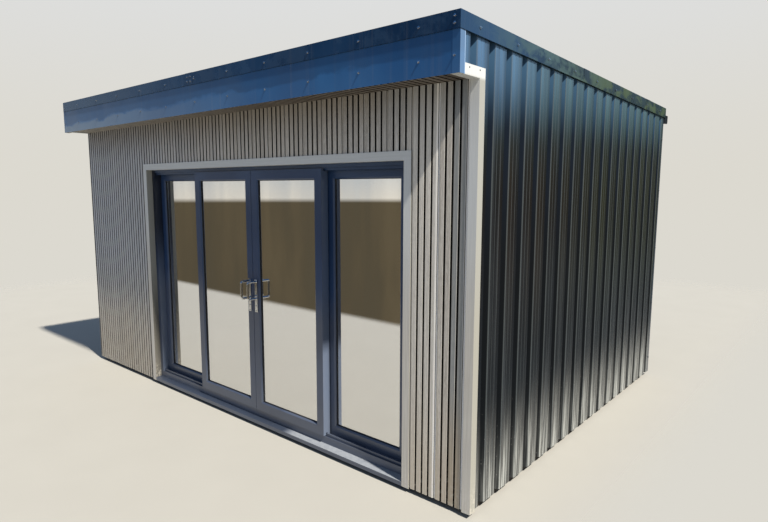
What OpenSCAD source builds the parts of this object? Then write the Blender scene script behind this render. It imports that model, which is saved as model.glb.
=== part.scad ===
/* [Building] */
// Width of the front, from the left corner to the outer face of the right-hand corner trim
wall_w = 5090; // [4700:10:6000]
// Depth from the front trim face to the outer face of the rear sheets
wall_d = 3655; // [2800:5:4600]
// Height of the lower edge of the fascia above the ground
eaves_z = 2612; // [2400:2:2900]
// How far the fascia stands in front of the front trim face
front_overhang = 205; // [120:5:400]
// How far the roof edge stands out past the left wall
left_overhang = 78; // [60:2:200]
// How far the roof edge stands out past the right-hand corner trim
right_overhang = 3; // [2:1:20]
// How far the roof edge stands out past the rear wall
rear_overhang = 35; // [20:5:60]
// Drop of the roof from the fascia to the rear wall
roof_fall = 92; // [60:2:200]

/* [Wall build-up] */
// Thickness of the insulated wall panels
wall_panel_t = 130; // [90:5:180]
// Thickness of the inner linings
lining_t = 12; // [9:1:18]
// Thickness of the battens behind the front cladding
batten_t = 20; // [15:1:40]
// Width of a cladding batten
batten_w = 45; // [35:1:60]
// Greatest spacing of the cladding battens
batten_step = 600; // [300:50:600]

/* [Base and floor] */
// Height of the base timbers
base_h = 46; // [38:1:100]
// Width of the base timbers
bearer_w = 95; // [70:5:145]
// Greatest spacing of the bearers
bearer_step = 620; // [400:10:700]
// Setback of the base under the walls
base_inset = 2; // [0:1:20]
// Thickness of the insulated floor panel
floor_panel_t = 66; // [50:1:110]
// Thickness of the floor boards
floor_finish_t = 8; // [6:1:20]

/* [Slatted cladding] */
// Distance from slat to slat
slat_pitch = 50; // [40:1:70]
// Width of the groove between two slats
groove_w = 15; // [8:1:20]
// Depth of the groove
groove_depth = 14; // [8:1:18]
// Overall thickness of a cladding board
clad_t = 22; // [20:1:30]
// Slats on one board
slats_per_board = 4; // [3:1:6]
// Depth of the groove where two boards join
joint_depth = 7; // [3:1:12]
// How much each side of a groove leans in
groove_lean = 1; // [0.5:0.5:3]
// Distance from the right-hand corner to the nearest joint of two boards
first_joint = 272; // [60:1:400]
// Gap between the ground and the lower end of the cladding
clad_gap = 36; // [20:2:80]
// Gap at the ends of the cladding, the rear sheets and the sill
end_gap = 1; // [0.5:0.5:3]

/* [Angle trims] */
// Leg of the corner trim and the soffit end trims
trim_leg = 60; // [40:1:80]
// Thickness of all the trims
trim_t = 6; // [4:0.5:8]
// Gap between the ground and the lower end of the trims
trim_gap = 30; // [15:1:60]
// Joint left between pieces that are fitted on site
site_gap = 2; // [1:0.5:5]

/* [Profiled sheets] */
// Distance from trough to trough
trough_pitch = 200; // [150:5:250]
// Width of a trough at the outer face
trough_open = 72; // [50:1:90]
// Width of a trough at its floor
trough_floor = 28; // [18:1:40]
// Depth of a trough
trough_depth = 32; // [20:1:40]
// Distance between the two stiffening swages between troughs
swage_pitch = 44; // [30:2:60]
// Width of a stiffening swage
swage_w = 12; // [8:1:16]
// Depth of a stiffening swage
swage_depth = 1.5; // [1:0.5:3]
// Thickness of the sheet metal
sheet_t = 1; // [0.7:0.1:2]
// First trough centre of the right wall, behind the fascia
first_trough = 146; // [100:1:180]
// Gap between the ground and the lower end of the sheets
sheet_gap = 40; // [30:1:150]

/* [Fascia and flashings] */
// Height of the fascia sheet
fascia_h = 224; // [150:2:300]
// Height of the flashing above the fascia
flashing_h = 97; // [70:1:140]
// Width of the flashing on top of the roof
flashing_top_w = 75; // [50:5:120]
// How far the drip edge of a flashing turns out
drip_out = 4; // [2:0.5:8]
// How far the fascia runs up behind the flashing
fascia_tuck = 20; // [10:1:40]
// Leg of the folded corner flashings
corner_leg = 50; // [40:1:80]
// Narrow fold of the left corner flashing in front of the cladding
corner_fold = 8; // [5:1:20]
// Height of the flashing at the rear eaves
eaves_drip_h = 75; // [50:5:90]
// Size of the timber under the left roof edge
verge_timber = 45; // [38:1:60]
// Thickness of the roof deck boards
deck_t = 18; // [15:1:25]
// Thickness of the roof membrane
membrane_t = 2; // [1.2:0.1:4]

/* [Gutter] */
// Width of the gutter
gutter_w = 114; // [100:1:130]
// Height of the gutter
gutter_h = 78; // [60:1:90]
// Bevel along the lower edges of the gutter
gutter_bevel = 10; // [4:1:20]
// Wall thickness of the gutter
gutter_t = 2.5; // [2:0.1:4]
// How far the eaves flashing hangs down into the gutter
gutter_dip = 5; // [2:1:12]
// Thickness of the gutter brackets at the wall
bracket_t = 6; // [4:1:8]
// Thickness of the straps under the gutter
strap_t = 3; // [2:0.5:5]
// Clearance between the gutter and its brackets
bracket_fit = 0.3; // [0.2:0.1:1]
// Width of the gutter brackets
bracket_w = 25; // [20:1:40]
// Greatest spacing of the gutter brackets
bracket_step = 900; // [600:50:1000]
// Radius of the downpipe
pipe_r = 34; // [30:1:40]
// Wall thickness of the downpipe
pipe_t = 2.5; // [2:0.5:4]
// Which flat of the rear sheets carries the downpipe, counted from the left corner
pipe_flat = 1; // [1:1:3]
// Height of the mouth of the downpipe above the ground
pipe_z = 70; // [40:5:150]
// Thickness of the downpipe's clips and socket
clip_t = 4; // [3:0.5:6]
// Height of a clip
clip_h = 25; // [20:1:35]
// Height of the socket under the gutter
socket_h = 60; // [40:5:90]
// Length of the shoe at the foot of the downpipe, from the middle of its knee
shoe_l = 110; // [80:5:140]

/* [Door opening] */
// Width over the door trim
door_trim_w = 3372; // [2800:2:3600]
// Height of the upper edge of the door trim
door_trim_z = 2240; // [2100:2:2300]
// Distance from the right corner to the door trim
door_right = 474; // [380:2:700]
// Face width of the door trim
door_trim_face = 58; // [45:1:70]
// Depth of the reveal in front of the door frame
reveal_d = 60; // [50:1:70]
// Gap between the door frame and the wall panels
frame_fit = 7; // [3:1:12]
// Thickness of the sill
sill_t = 22; // [15:1:30]
// Thickness of the front nose of the sill
sill_nose_t = 8; // [5:1:12]
// How far the sill's nose hangs below its underside
sill_drop = 16; // [5:1:30]
// How far the sill slopes down to its nose
sill_fall = 8; // [3:1:14]

/* [Door frame and leaves] */
// Depth of the door frame
frame_d = 130; // [124:1:150]
// Width of a frame member
frame_w = 64; // [56:1:80]
// Width of a frame member that the trim covers
frame_cover = 20; // [14:1:24]
// Height of the bottom track
track_h = 56; // [40:1:70]
// Height of the head of the frame
head_h = 46; // [36:1:70]
// Width of the stiles and rails of the leaves
stile_w = 80; // [60:1:95]
// Thickness of a leaf
leaf_t = 68; // [60:1:72]
// How far a sliding leaf stands in front of the frame
leaf_proud = 15; // [10:1:18]
// Overlap of a sliding leaf over a fixed one
leaf_overlap = 26; // [20:1:60]
// How much narrower a fixed leaf is than a sliding one
fixed_narrower = 52; // [0:2:80]
// Running gap under the sliding leaves
gap_under = 6; // [5:0.5:10]
// Running gap over the sliding leaves
gap_over = 6; // [5:0.5:10]
// Gap between the two leaves where they meet
meeting_gap = 6; // [5:0.5:10]
// Thickness of the glass units
glass_t = 24; // [20:1:28]
// How deep the glass sits in the frames
glass_seat = 14; // [10:1:18]
// Distance from the outer face of a leaf to its glass
glass_back = 20; // [14:1:22]
// Clearance round the glass in its groove
glass_fit = 1; // [0.5:0.5:2]
// Width of the bevel beside the glass
bead_w = 10; // [5:1:14]
// Depth of the bevel beside the glass
bead_d = 8; // [4:1:12]
// Gap between the sliding leaves and the fixed ones
leaf_gap = 9; // [6:0.5:15]
// Thickness of the fins that guide the sliding leaves
fin_t = 6; // [4:1:8]
// Gap on each side of a guide fin
fin_gap = 5; // [5:0.5:8]
// How deep a guide fin runs in its leaf
fin_reach = 14; // [10:1:18]
// Width of the lip in front of the track's drainage channels
track_lip = 4; // [3:1:6]
// Depth of the drainage channels
channel_d = 8; // [4:1:14]

/* [Handles] */
// Height of a handle plate
plate_h = 276; // [200:2:300]
// Width of a handle plate
plate_w = 32; // [26:1:40]
// Centre of the handle plates above the ground
plate_z = 1121; // [950:1:1200]
// Height of the grip over its ends
grip_h = 160; // [120:2:180]
// Distance from the top of the plate to the top of the grip
grip_drop = 10; // [6:1:30]
// How far the outer grip stands out
grip_out = 96; // [45:1:110]
// How far the inner grip stands in
grip_in = 44; // [35:1:50]
// Diameter of the grip bar
grip_dia = 18; // [14:1:20]
// Radius of the grip's bends, to the middle of the bar
grip_bend = 14; // [12:1:20]
// Thickness of the handle plates
plate_t = 6; // [4:1:8]
// Corner radius of the handle plates
plate_corner = 5; // [2:1:10]
// Diameter of the lock cylinder's head
lock_dia = 17; // [15:1:18]
// How far the lock cylinder stands out of its plate
lock_out = 3; // [2:1:6]
// How far the rosettes at the grip's ends stand out
foot_t = 3; // [2:1:6]
// Width of the rosettes around the grip bar
foot_w = 3; // [2:1:4]

/* [Hidden] */

steel = [0.17, 0.20, 0.25];
taupe = [0.47, 0.43, 0.39];
cream = [0.72, 0.68, 0.62];
timber = [0.62, 0.50, 0.33];
board = [0.78, 0.70, 0.52];
white = [0.93, 0.92, 0.89];
oak = [0.66, 0.50, 0.33];
rubber = [0.12, 0.12, 0.13];
frame_grey = [0.24, 0.27, 0.31];
pane = [0.62, 0.72, 0.72, 0.45];
bright = [0.80, 0.81, 0.83];

// How far a cutting shape runs past what it cuts
over = 5;

// Wall planes, from the middle of the wall's width and depth
half_w = wall_w / 2;
y_front = -wall_d / 2;
y_rear = wall_d / 2;
y_clad = y_front + trim_t;
y_clad_back = y_clad + clad_t;
y_core = y_clad_back + batten_t;
y_core_in = y_core + wall_panel_t;
y_line_in = y_core_in + lining_t;
sheet_body = trough_depth + sheet_t;
x_sheet = half_w - trim_t;
x_core = x_sheet - sheet_body;
x_core_in = x_core - wall_panel_t;
x_line_in = x_core_in - lining_t;
y_rear_core = y_rear - sheet_body;
y_rear_core_in = y_rear_core - wall_panel_t;
y_rear_line_in = y_rear_core_in - lining_t;

// Roof planes; the roof falls evenly from the flashing over the fascia to the rear wall
skin = sheet_t;
y_fascia = y_front - front_overhang;
y_board = y_fascia + skin;
y_out = y_fascia - 2 * skin;
y_roof_rear = y_rear + rear_overhang;
x_roof_left = -half_w - left_overhang;
x_roof_right = half_w + right_overhang;
soffit_z = eaves_z + trim_t;
wall_top_z = soffit_z + clad_t;
flash_z = eaves_z + fascia_h;
roof_top_z = flash_z + flashing_h;
function roof_z(y, below = 0) = roof_top_z - below - roof_fall * (y - y_out) / (y_rear - y_out);
deck_top = skin + membrane_t;
deck_under = deck_top + deck_t;
sheet_top = deck_under + site_gap;

// Door planes
door_x = half_w - door_right - door_trim_w / 2;
reveal_half = door_trim_w / 2 - door_trim_face;
trim_in_z = door_trim_z - door_trim_face;
frame_half = reveal_half + frame_cover;
frame_in_half = frame_half - frame_w;
frame_top_z = trim_in_z + frame_cover;
opening_half = frame_half + frame_fit;
opening_z = frame_top_z + frame_fit;
y_frame = y_front + reveal_d;
y_frame_in = y_frame + frame_d;
sill_top_z = base_h + sill_t;
track_z = sill_top_z + track_h;
head_in_z = frame_top_z - head_h;

// Leaf planes
y_leaf = y_frame - leaf_proud;
y_leaf_back = y_leaf + leaf_t;
leaf_w = (frame_in_half + leaf_overlap + fixed_narrower) / 2;
fixed_w = leaf_w - fixed_narrower;
y_fixed = y_leaf_back + leaf_gap;
fixed_t = y_frame_in - y_fixed;
leaf_z = track_z + gap_under;
leaf_h = head_in_z - gap_over - leaf_z;
fixed_h = head_in_z - track_z;
y_fin = y_leaf + leaf_t / 2;

module block(x0, x1, y0, y1, z0, z1) {
    translate([x0, y0, z0]) cube([x1 - x0, y1 - y0, z1 - z0]);
}

// A prism along X whose outline is given in Y and Z
module along_x(x0, x1, outline) {
    translate([x0, 0, 0]) rotate([90, 0, 90]) linear_extrude(x1 - x0) polygon(outline);
}

// A prism along Y whose outline is given in X and Z
module along_y(y0, y1, outline) {
    translate([0, y1, 0]) rotate([90, 0, 0]) linear_extrude(y1 - y0) polygon(outline);
}

module both_sides() {
    for (s = [0, 1])
        mirror([s, 0, 0]) children();
}

// A sloping layer between two depths below the roof surface
module roof_layer(x0, x1, y0, y1, top, bottom) {
    ya = y_out - front_overhang;
    yb = y_roof_rear + front_overhang;
    intersection() {
        along_x(x0, x1, [
            [ya, roof_z(ya, bottom)], [yb, roof_z(yb, bottom)],
            [yb, roof_z(yb, top)], [ya, roof_z(ya, top)]]);
        block(x0 - over, x1 + over, y0, y1, 0, 2 * roof_top_z);
    }
}

// Base and floor

y_base = max(y_core, y_frame) + base_inset;
x_base = x_core - base_inset;

module base_rims() {
    color(timber) {
        block(-x_base, x_base, y_base, y_base + bearer_w, 0, base_h);
        block(-x_base, x_base, y_rear_core - bearer_w, y_rear_core, 0, base_h);
    }
}

bearer_span = 2 * x_base - bearer_w;
bearer_bays = ceil(bearer_span / bearer_step);

module base_bearers() {
    color(timber)
        for (i = [0:bearer_bays])
            translate([-bearer_span / 2 + i * bearer_span / bearer_bays, 0, 0])
                block(-bearer_w / 2, bearer_w / 2, y_base + bearer_w, y_rear_core - bearer_w, 0, base_h);
}

floor_z = base_h + floor_panel_t;

// Room that the floor leaves for the door frame
module door_notch() {
    notch_half = frame_half + site_gap;
    block(door_x - notch_half, door_x + notch_half, y_frame, y_frame_in, 0, frame_top_z);
}

module floor_panel() {
    color(board)
        difference() {
            block(-x_core_in, x_core_in, y_core_in, y_rear_core_in, base_h, floor_z);
            door_notch();
        }
}

module floor_boards() {
    color(oak)
        difference() {
            block(-x_line_in, x_line_in, y_line_in, y_rear_line_in, floor_z, floor_z + floor_finish_t);
            door_notch();
        }
}

// Wall panels

module front_wall_left() {
    color(board) block(-x_core_in, door_x - opening_half, y_core, y_core_in, base_h, wall_top_z);
}

module front_wall_right() {
    color(board) block(door_x + opening_half, x_core_in, y_core, y_core_in, base_h, wall_top_z);
}

module front_wall_over_door() {
    color(board)
        block(door_x - opening_half, door_x + opening_half, y_core, y_core_in, opening_z, wall_top_z);
}

module side_walls() {
    color(board)
        both_sides()
            block(x_core_in, x_core, y_core, y_rear_core, base_h, wall_top_z);
}

module rear_wall() {
    color(board) block(-x_core_in, x_core_in, y_rear_core_in, y_rear_core, base_h, wall_top_z);
}

ceiling_z = wall_top_z - lining_t;
lining_top_z = ceiling_z - site_gap;

module inner_linings() {
    x1 = x_line_in - site_gap;
    color(white) {
        both_sides()
            block(x_line_in, x_core_in, y_core_in, y_rear_core_in, floor_z, lining_top_z);
        block(-x1, x1, y_rear_line_in, y_rear_core_in, floor_z, lining_top_z);
        block(-x1, door_x - frame_half - site_gap, y_core_in, y_line_in, floor_z, lining_top_z);
        block(door_x + frame_half + site_gap, x1, y_core_in, y_line_in, floor_z, lining_top_z);
        block(door_x - frame_half, door_x + frame_half, y_core_in, y_line_in, opening_z, lining_top_z);
        block(-x_core_in, x_core_in, y_core_in, y_rear_core_in, ceiling_z, wall_top_z);
    }
}

// Front cladding

batten_z = clad_gap + base_inset;

module batten_rows(x0, x1, z0, z1) {
    rows = ceil((z1 - z0 - batten_w) / batten_step);
    for (i = [0:rows])
        translate([0, 0, z0 + i * (z1 - z0 - batten_w) / rows])
            block(x0, x1, y_clad_back, y_core, 0, batten_w);
}

module cladding_battens() {
    door_x0 = door_x - opening_half;
    door_x1 = door_x + opening_half;
    color(timber) {
        batten_rows(-x_core, door_x0, batten_z, soffit_z);
        batten_rows(door_x1, x_core, batten_z, soffit_z);
        batten_rows(door_x0 + site_gap, door_x1 - site_gap, opening_z, soffit_z);
    }
}

// Outline of a run of slats in X and depth, with its outer face at depth 0; the grooves are
// counted from a board joint at x_ref, and one may be cut by an end of the run
function is_joint(k) = (k % slats_per_board + slats_per_board) % slats_per_board == 0;
function depth_at_groove(k) = is_joint(k) ? joint_depth : groove_depth;
function slat_depth(x, x_ref) =
    let (k = round((x - x_ref) / slat_pitch), off = abs(x - x_ref - k * slat_pitch))
    min(1, max(0, (groove_w / 2 - off) / groove_lean)) * depth_at_groove(k);
function groove_points(k, x_ref) =
    let (c = x_ref + k * slat_pitch, d = depth_at_groove(k), h = groove_w / 2)
    [[c - h, 0], [c - h + groove_lean, d], [c + h - groove_lean, d], [c + h, 0]];
function slat_outline(x0, x1, x_ref) = concat(
    [[x0, slat_depth(x0, x_ref)]],
    [for (k = [floor((x0 - x_ref) / slat_pitch):ceil((x1 - x_ref) / slat_pitch)])
        for (p = groove_points(k, x_ref)) if (p[0] > x0 && p[0] < x1) p],
    [[x1, slat_depth(x1, x_ref)], [x1, clad_t], [x0, clad_t]]);

joint_x = half_w - first_joint;
clad_x0 = -x_sheet + end_gap;
clad_x1 = x_core - end_gap;
soffit_half = clad_x1;
clad_door_half = reveal_half + trim_t;

module wall_slats(x0, x1, z0, z1) {
    translate([0, y_clad, z0]) linear_extrude(z1 - z0) polygon(slat_outline(x0, x1, joint_x));
}

module front_cladding_left() {
    color(taupe) wall_slats(clad_x0, door_x - clad_door_half, clad_gap, soffit_z);
}

module front_cladding_right() {
    color(taupe) wall_slats(door_x + clad_door_half, clad_x1, clad_gap, soffit_z);
}

module front_cladding_over_door() {
    color(taupe)
        wall_slats(door_x - clad_door_half, door_x + clad_door_half, trim_in_z + trim_t, soffit_z);
}

module soffit_cladding() {
    color(taupe)
        translate([0, y_clad_back, soffit_z]) rotate([90, 0, 0])
            linear_extrude(y_clad_back - y_board)
                polygon(slat_outline(-soffit_half, soffit_half, joint_x));
}

// Trims

function angle_outline(leg_x, leg_y, t) =
    [[0, 0], [-leg_x, 0], [-leg_x, t], [-t, t], [-t, leg_y], [0, leg_y]];

// The right corner has an angle trim; at the left the slats run to the edge of the wall
module corner_trims() {
    color(cream)
        translate([half_w, y_front, trim_gap])
            linear_extrude(eaves_z - trim_gap) polygon(angle_outline(trim_leg, trim_leg, trim_t));
}

module soffit_end_trims() {
    color(cream)
        both_sides() {
            block(half_w - trim_leg, half_w, y_board, y_clad, eaves_z, soffit_z);
            block(half_w - trim_t, half_w, y_board, y_front + trim_leg, eaves_z, eaves_z + trim_leg);
        }
}

module door_trim_sides() {
    color(cream)
        translate([door_x, 0, 0]) both_sides() {
            along_y(y_front, y_clad,
                [[reveal_half, trim_gap], [door_trim_w / 2, trim_gap], [door_trim_w / 2, door_trim_z],
                [reveal_half, trim_in_z]]);
            block(reveal_half, clad_door_half, y_front, y_frame, trim_gap, trim_in_z);
        }
}

module door_trim_head() {
    color(cream) translate([door_x, 0, 0]) {
        along_y(y_front, y_clad,
            [[-reveal_half, trim_in_z], [reveal_half, trim_in_z], [door_trim_w / 2, door_trim_z],
            [-door_trim_w / 2, door_trim_z]]);
        block(-reveal_half, reveal_half, y_front, y_frame, trim_in_z, trim_in_z + trim_t);
    }
}

// Profiled sheets
// Outline of a sheet from s0 to s1 with its outer face at depth 0; trough n is centred n pitches
// from the first, and two swages stiffen each flat between troughs

function trough_points(c) =
    [[c - trough_open / 2, 0], [c - trough_floor / 2, trough_depth],
    [c + trough_floor / 2, trough_depth], [c + trough_open / 2, 0]];
function swage_points(c) =
    [[c - swage_w / 2, 0], [c - swage_w / 4, swage_depth],
    [c + swage_w / 4, swage_depth], [c + swage_w / 2, 0]];
function kept(points, s0, s1) =
    points[0][0] - site_gap >= s0 && points[3][0] + site_gap <= s1 ? points : [];
function sheet_line(s0, s1, first) = concat(
    [[s0, 0]],
    [for (n = [floor((s0 - first) / trough_pitch):ceil((s1 - first) / trough_pitch)])
        let (c = first + n * trough_pitch, flat = c + trough_pitch / 2)
        for (p = concat(kept(trough_points(c), s0, s1),
            kept(swage_points(flat - swage_pitch / 2), s0, s1),
            kept(swage_points(flat + swage_pitch / 2), s0, s1))) p],
    [[s1, 0]]);
function sheet_outline(s0, s1, first) =
    let (line = sheet_line(s0, s1, first))
    concat(line, [for (i = [len(line) - 1:-1:0]) [line[i][0], line[i][1] + sheet_t]]);

module under_roof(x0, x1) {
    roof_layer(x0, x1, y_out, y_roof_rear, sheet_top, roof_top_z);
}

// The side sheets also close the ends of the overhang, so they step up to the soffit there; at the
// left the cladding covers their front edge
module side_sheet(y_wall) {
    intersection() {
        difference() {
            translate([x_sheet, 0, sheet_gap]) rotate([0, 0, 90])
                linear_extrude(roof_top_z)
                    polygon(sheet_outline(y_board, y_rear - skin, y_fascia + first_trough));
            block(x_core - over, half_w + over, y_fascia - over, y_wall, 0, soffit_z);
        }
        under_roof(0, half_w + over);
    }
}

module side_wall_sheets() {
    color(steel) {
        side_sheet(y_clad);
        mirror([1, 0, 0]) side_sheet(y_clad_back);
    }
}

module rear_wall_sheets() {
    color(steel)
        translate([0, y_rear, sheet_gap]) rotate([0, 0, 180])
            linear_extrude(roof_z(y_rear, sheet_top) - sheet_gap)
                polygon(sheet_outline(-x_core + end_gap, x_core - end_gap, 0));
}

// Folded flashings at both ends of the fascia, at the rear corners and at the left front corner
module corner_flashings() {
    color(steel) {
        for (side = [[0, x_roof_right], [1, -x_roof_left]])
            mirror([side[0], 0, 0])
                intersection() {
                    translate([side[1], y_fascia - skin, eaves_z])
                        linear_extrude(fascia_h) polygon(angle_outline(corner_leg, corner_leg, skin));
                    roof_layer(0, side[1] + over, y_out, y_front, flashing_h, roof_top_z);
                }
        both_sides()
            intersection() {
                translate([x_sheet + skin, y_rear + skin, sheet_gap]) mirror([0, 1, 0])
                    linear_extrude(roof_top_z) polygon(angle_outline(corner_leg, corner_leg, skin));
                under_roof(0, half_w + over);
            }
        translate([-x_sheet - skin, y_clad - skin, sheet_gap]) mirror([1, 0, 0])
            linear_extrude(eaves_z - sheet_gap) polygon(angle_outline(corner_fold, corner_leg, skin));
    }
}

// Roof

module roof_panel() {
    color(board)
        intersection() {
            roof_layer(-x_core, x_core, y_board, y_rear_core, deck_under, roof_top_z);
            block(-half_w, half_w, y_out, y_rear, wall_top_z, roof_top_z);
        }
}

// Timber under the left edge of the roof and behind the end of the fascia
module left_edge_timber() {
    x0 = x_roof_left + skin;
    roof_layer(x0, x0 + verge_timber, y_board, y_rear, deck_under, deck_under + verge_timber);
    intersection() {
        roof_layer(x0, -half_w - site_gap, y_board, y_board + verge_timber, deck_under, roof_top_z);
        block(x0, -half_w, y_out, y_front, eaves_z, roof_top_z);
    }
}

module roof_deck() {
    color(board) {
        roof_layer(x_roof_left + skin, x_roof_right - skin,
            y_board, y_roof_rear - skin, deck_top, deck_under);
        left_edge_timber();
    }
}

module roof_membrane() {
    color(rubber)
        roof_layer(x_roof_left + skin, x_roof_right - skin, y_board, y_roof_rear - skin, skin, deck_top);
}

// Fascia and flashings

module front_fascia() {
    color(steel)
        block(x_roof_left + skin, x_roof_right - skin, y_fascia, y_board, eaves_z, flash_z + fascia_tuck);
}

module front_top_flashing() {
    y_in = y_fascia + flashing_top_w;
    color(steel) {
        x0 = x_roof_left + skin;
        x1 = x_roof_right - skin;
        roof_layer(x0, x1, y_out, y_in, 0, skin);
        block(x0, x1, y_out, y_out + skin, flash_z, roof_z(y_out + skin, skin));
        block(x0, x1, y_out - drip_out, y_out + skin, flash_z, flash_z + skin);
    }
}

module verge_flashing(x_out) {
    roof_layer(x_out - skin, x_out, y_out, y_roof_rear, 0, flashing_h);
    roof_layer(x_out - flashing_top_w, x_out, y_fascia + flashing_top_w, y_roof_rear - skin, 0, skin);
    roof_layer(x_out - skin, x_out + drip_out, y_out - drip_out, y_roof_rear, flashing_h - skin, flashing_h);
}

module verge_flashings() {
    color(steel) {
        verge_flashing(x_roof_right);
        mirror([1, 0, 0]) verge_flashing(-x_roof_left);
    }
}

module left_verge_soffit() {
    below = deck_under + verge_timber;
    color(steel)
        roof_layer(x_roof_left + skin, -x_sheet - skin, y_board + verge_timber, y_rear, below, below + skin);
}

// Its lower edge hangs into the gutter, between the gutter's end walls
module eaves_flashing() {
    top_in = flashing_top_w + site_gap;
    drop_in = gutter_t + site_gap;
    color(steel) {
        roof_layer(x_roof_left + top_in, x_roof_right - top_in,
            y_roof_rear - flashing_top_w, y_roof_rear, 0, skin);
        roof_layer(gutter_x0 + drop_in, gutter_x1 - drop_in,
            y_roof_rear - skin, y_roof_rear, skin, eaves_drip_h);
    }
}

// Gutter and downpipe

y_gutter = y_rear + bracket_t + bracket_fit;
gutter_z = roof_z(y_roof_rear, eaves_drip_h - gutter_dip);
pipe_top_z = gutter_z - gutter_h;
gutter_x0 = x_roof_left + skin + site_gap;
gutter_x1 = x_roof_right - skin - site_gap;
// The flats between the troughs of the rear sheets carry the brackets and the downpipe
last_flat = floor((x_core - corner_leg) / trough_pitch - 0.5);
function flat_x(n) = (n - last_flat - 0.5) * trough_pitch;

// Section of the gutter, grown on all sides but cut off at the top
function gutter_section(grow, top) =
    let (y0 = y_gutter - grow, y1 = y_gutter + gutter_w + grow, z0 = pipe_top_z - grow)
    let (c = gutter_bevel + grow * tan(22.5))
    [[y0, top], [y0, z0 + c], [y0 + c, z0], [y1 - c, z0], [y1, z0 + c], [y1, top]];

module gutter() {
    color(rubber)
        difference() {
            along_x(gutter_x0, gutter_x1, gutter_section(0, gutter_z));
            along_x(gutter_x0 + gutter_t, gutter_x1 - gutter_t, gutter_section(-gutter_t, gutter_z + over));
        }
}

bracket_bays = ceil((2 * last_flat + 1) * trough_pitch / bracket_step);

module gutter_brackets() {
    half = bracket_w / 2;
    strap = bracket_fit + strap_t;
    color(rubber)
        for (i = [0:bracket_bays])
            translate([flat_x(round(i * (2 * last_flat + 1) / bracket_bays)), 0, 0])
                difference() {
                    union() {
                        along_x(-half, half, gutter_section(strap, gutter_z));
                        block(-half, half, y_rear, y_rear + bracket_t, pipe_top_z - strap, gutter_z);
                    }
                    along_x(-bracket_w, bracket_w, gutter_section(bracket_fit, gutter_z + over));
                }
}

// The knee is a ball that hides where the two pipes meet
knee_turn = 45;
knee_r = pipe_r / cos(knee_turn / 2) + clip_t;
knee_z = pipe_z + (shoe_l + pipe_r) * sin(knee_turn);
y_pipe = y_gutter + gutter_w / 2;

module pipe_clip(z) {
    translate([0, 0, z]) {
        cylinder(h = clip_h, r = pipe_r + clip_t, $fn = 48);
        block(-bracket_w / 2, bracket_w / 2, y_rear - y_pipe, 0, 0, clip_h);
    }
}

// Turns its children to lie along the shoe, from the middle of the knee
module at_shoe() {
    translate([0, 0, knee_z]) rotate([knee_turn, 0, 0]) children();
}

// The pipe hangs from a socket under the gutter and ends in a shoe turned off the wall
module downpipe() {
    color(rubber)
        translate([flat_x(pipe_flat), y_pipe, 0])
            difference() {
                union() {
                    translate([0, 0, knee_z]) cylinder(h = pipe_top_z - knee_z, r = pipe_r, $fn = 48);
                    translate([0, 0, knee_z]) sphere(r = knee_r, $fn = 48);
                    at_shoe() mirror([0, 0, 1]) cylinder(h = shoe_l, r = pipe_r, $fn = 48);
                    translate([0, 0, pipe_top_z - socket_h])
                        cylinder(h = socket_h, r = pipe_r + clip_t, $fn = 48);
                    for (k = [0:2])
                        pipe_clip(knee_z + clip_h + k * (pipe_top_z - socket_h - knee_z - 3 * clip_h) / 2);
                }
                at_shoe() translate([0, 0, -2 * shoe_l])
                    cylinder(h = 1.5 * shoe_l, r = pipe_r - pipe_t, $fn = 48);
            }
}

// Door frame

module door_sill() {
    nose_half = reveal_half - end_gap;
    nose_top_z = sill_top_z - sill_fall;
    color(frame_grey) {
        along_x(door_x - nose_half, door_x + nose_half,
            [[y_front, base_h - sill_drop], [y_front + sill_nose_t, base_h - sill_drop],
            [y_front + sill_nose_t, base_h], [y_frame, base_h], [y_frame, sill_top_z],
            [y_front, nose_top_z]]);
        block(door_x - frame_half, door_x + frame_half, y_frame, y_frame_in, base_h, sill_top_z);
    }
}

// Section of the track and, turned over, of the head: points across the frame and towards the
// leaves, with drainage channels beside the fin that guides the sliding leaves
fin_y0 = y_fin - fin_t / 2;
fin_y1 = y_fin + fin_t / 2;
channel_y = y_frame + track_lip;
function rail_points(body, gap) = [
    [y_frame, -body], [y_frame, 0], [channel_y, 0], [channel_y, -channel_d], [fin_y0, -channel_d],
    [fin_y0, gap + fin_reach], [fin_y1, gap + fin_reach], [fin_y1, -channel_d],
    [2 * y_fin - channel_y, -channel_d], [2 * y_fin - channel_y, 0], [y_frame_in, 0], [y_frame_in, -body]];

module door_track() {
    color(frame_grey)
        along_x(door_x - frame_in_half, door_x + frame_in_half,
            [for (p = rail_points(track_h, gap_under)) [p[0], track_z + p[1]]]);
}

module door_head() {
    color(frame_grey)
        along_x(door_x - frame_in_half, door_x + frame_in_half,
            [for (p = rail_points(head_h, gap_over)) [p[0], head_in_z - p[1]]]);
}

module door_jambs() {
    color(frame_grey)
        translate([door_x, 0, 0]) both_sides()
            block(frame_in_half, frame_half, y_frame, y_frame_in, sill_top_z, frame_top_z);
}

// Leaves

// Section of a leaf member: across its width from the outer edge, and through its thickness
module member_section(thick) {
    g0 = glass_back;
    g1 = glass_back + glass_t + glass_fit;
    in = stile_w - glass_seat;
    polygon([[0, 0], [stile_w - bead_w, 0], [stile_w, bead_d], [stile_w, g0], [in, g0],
        [in, g1], [stile_w, g1], [stile_w, thick - bead_d], [stile_w - bead_w, thick], [0, thick]]);
}

// A stile along Z, cut at 45 degrees at both ends
module stile(length, thick) {
    reach = stile_w + over;
    intersection() {
        linear_extrude(length) member_section(thick);
        along_y(-over, thick + over,
            [[-over, -over], [reach, reach], [reach, length - reach], [-over, length + over]]);
    }
}

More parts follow.
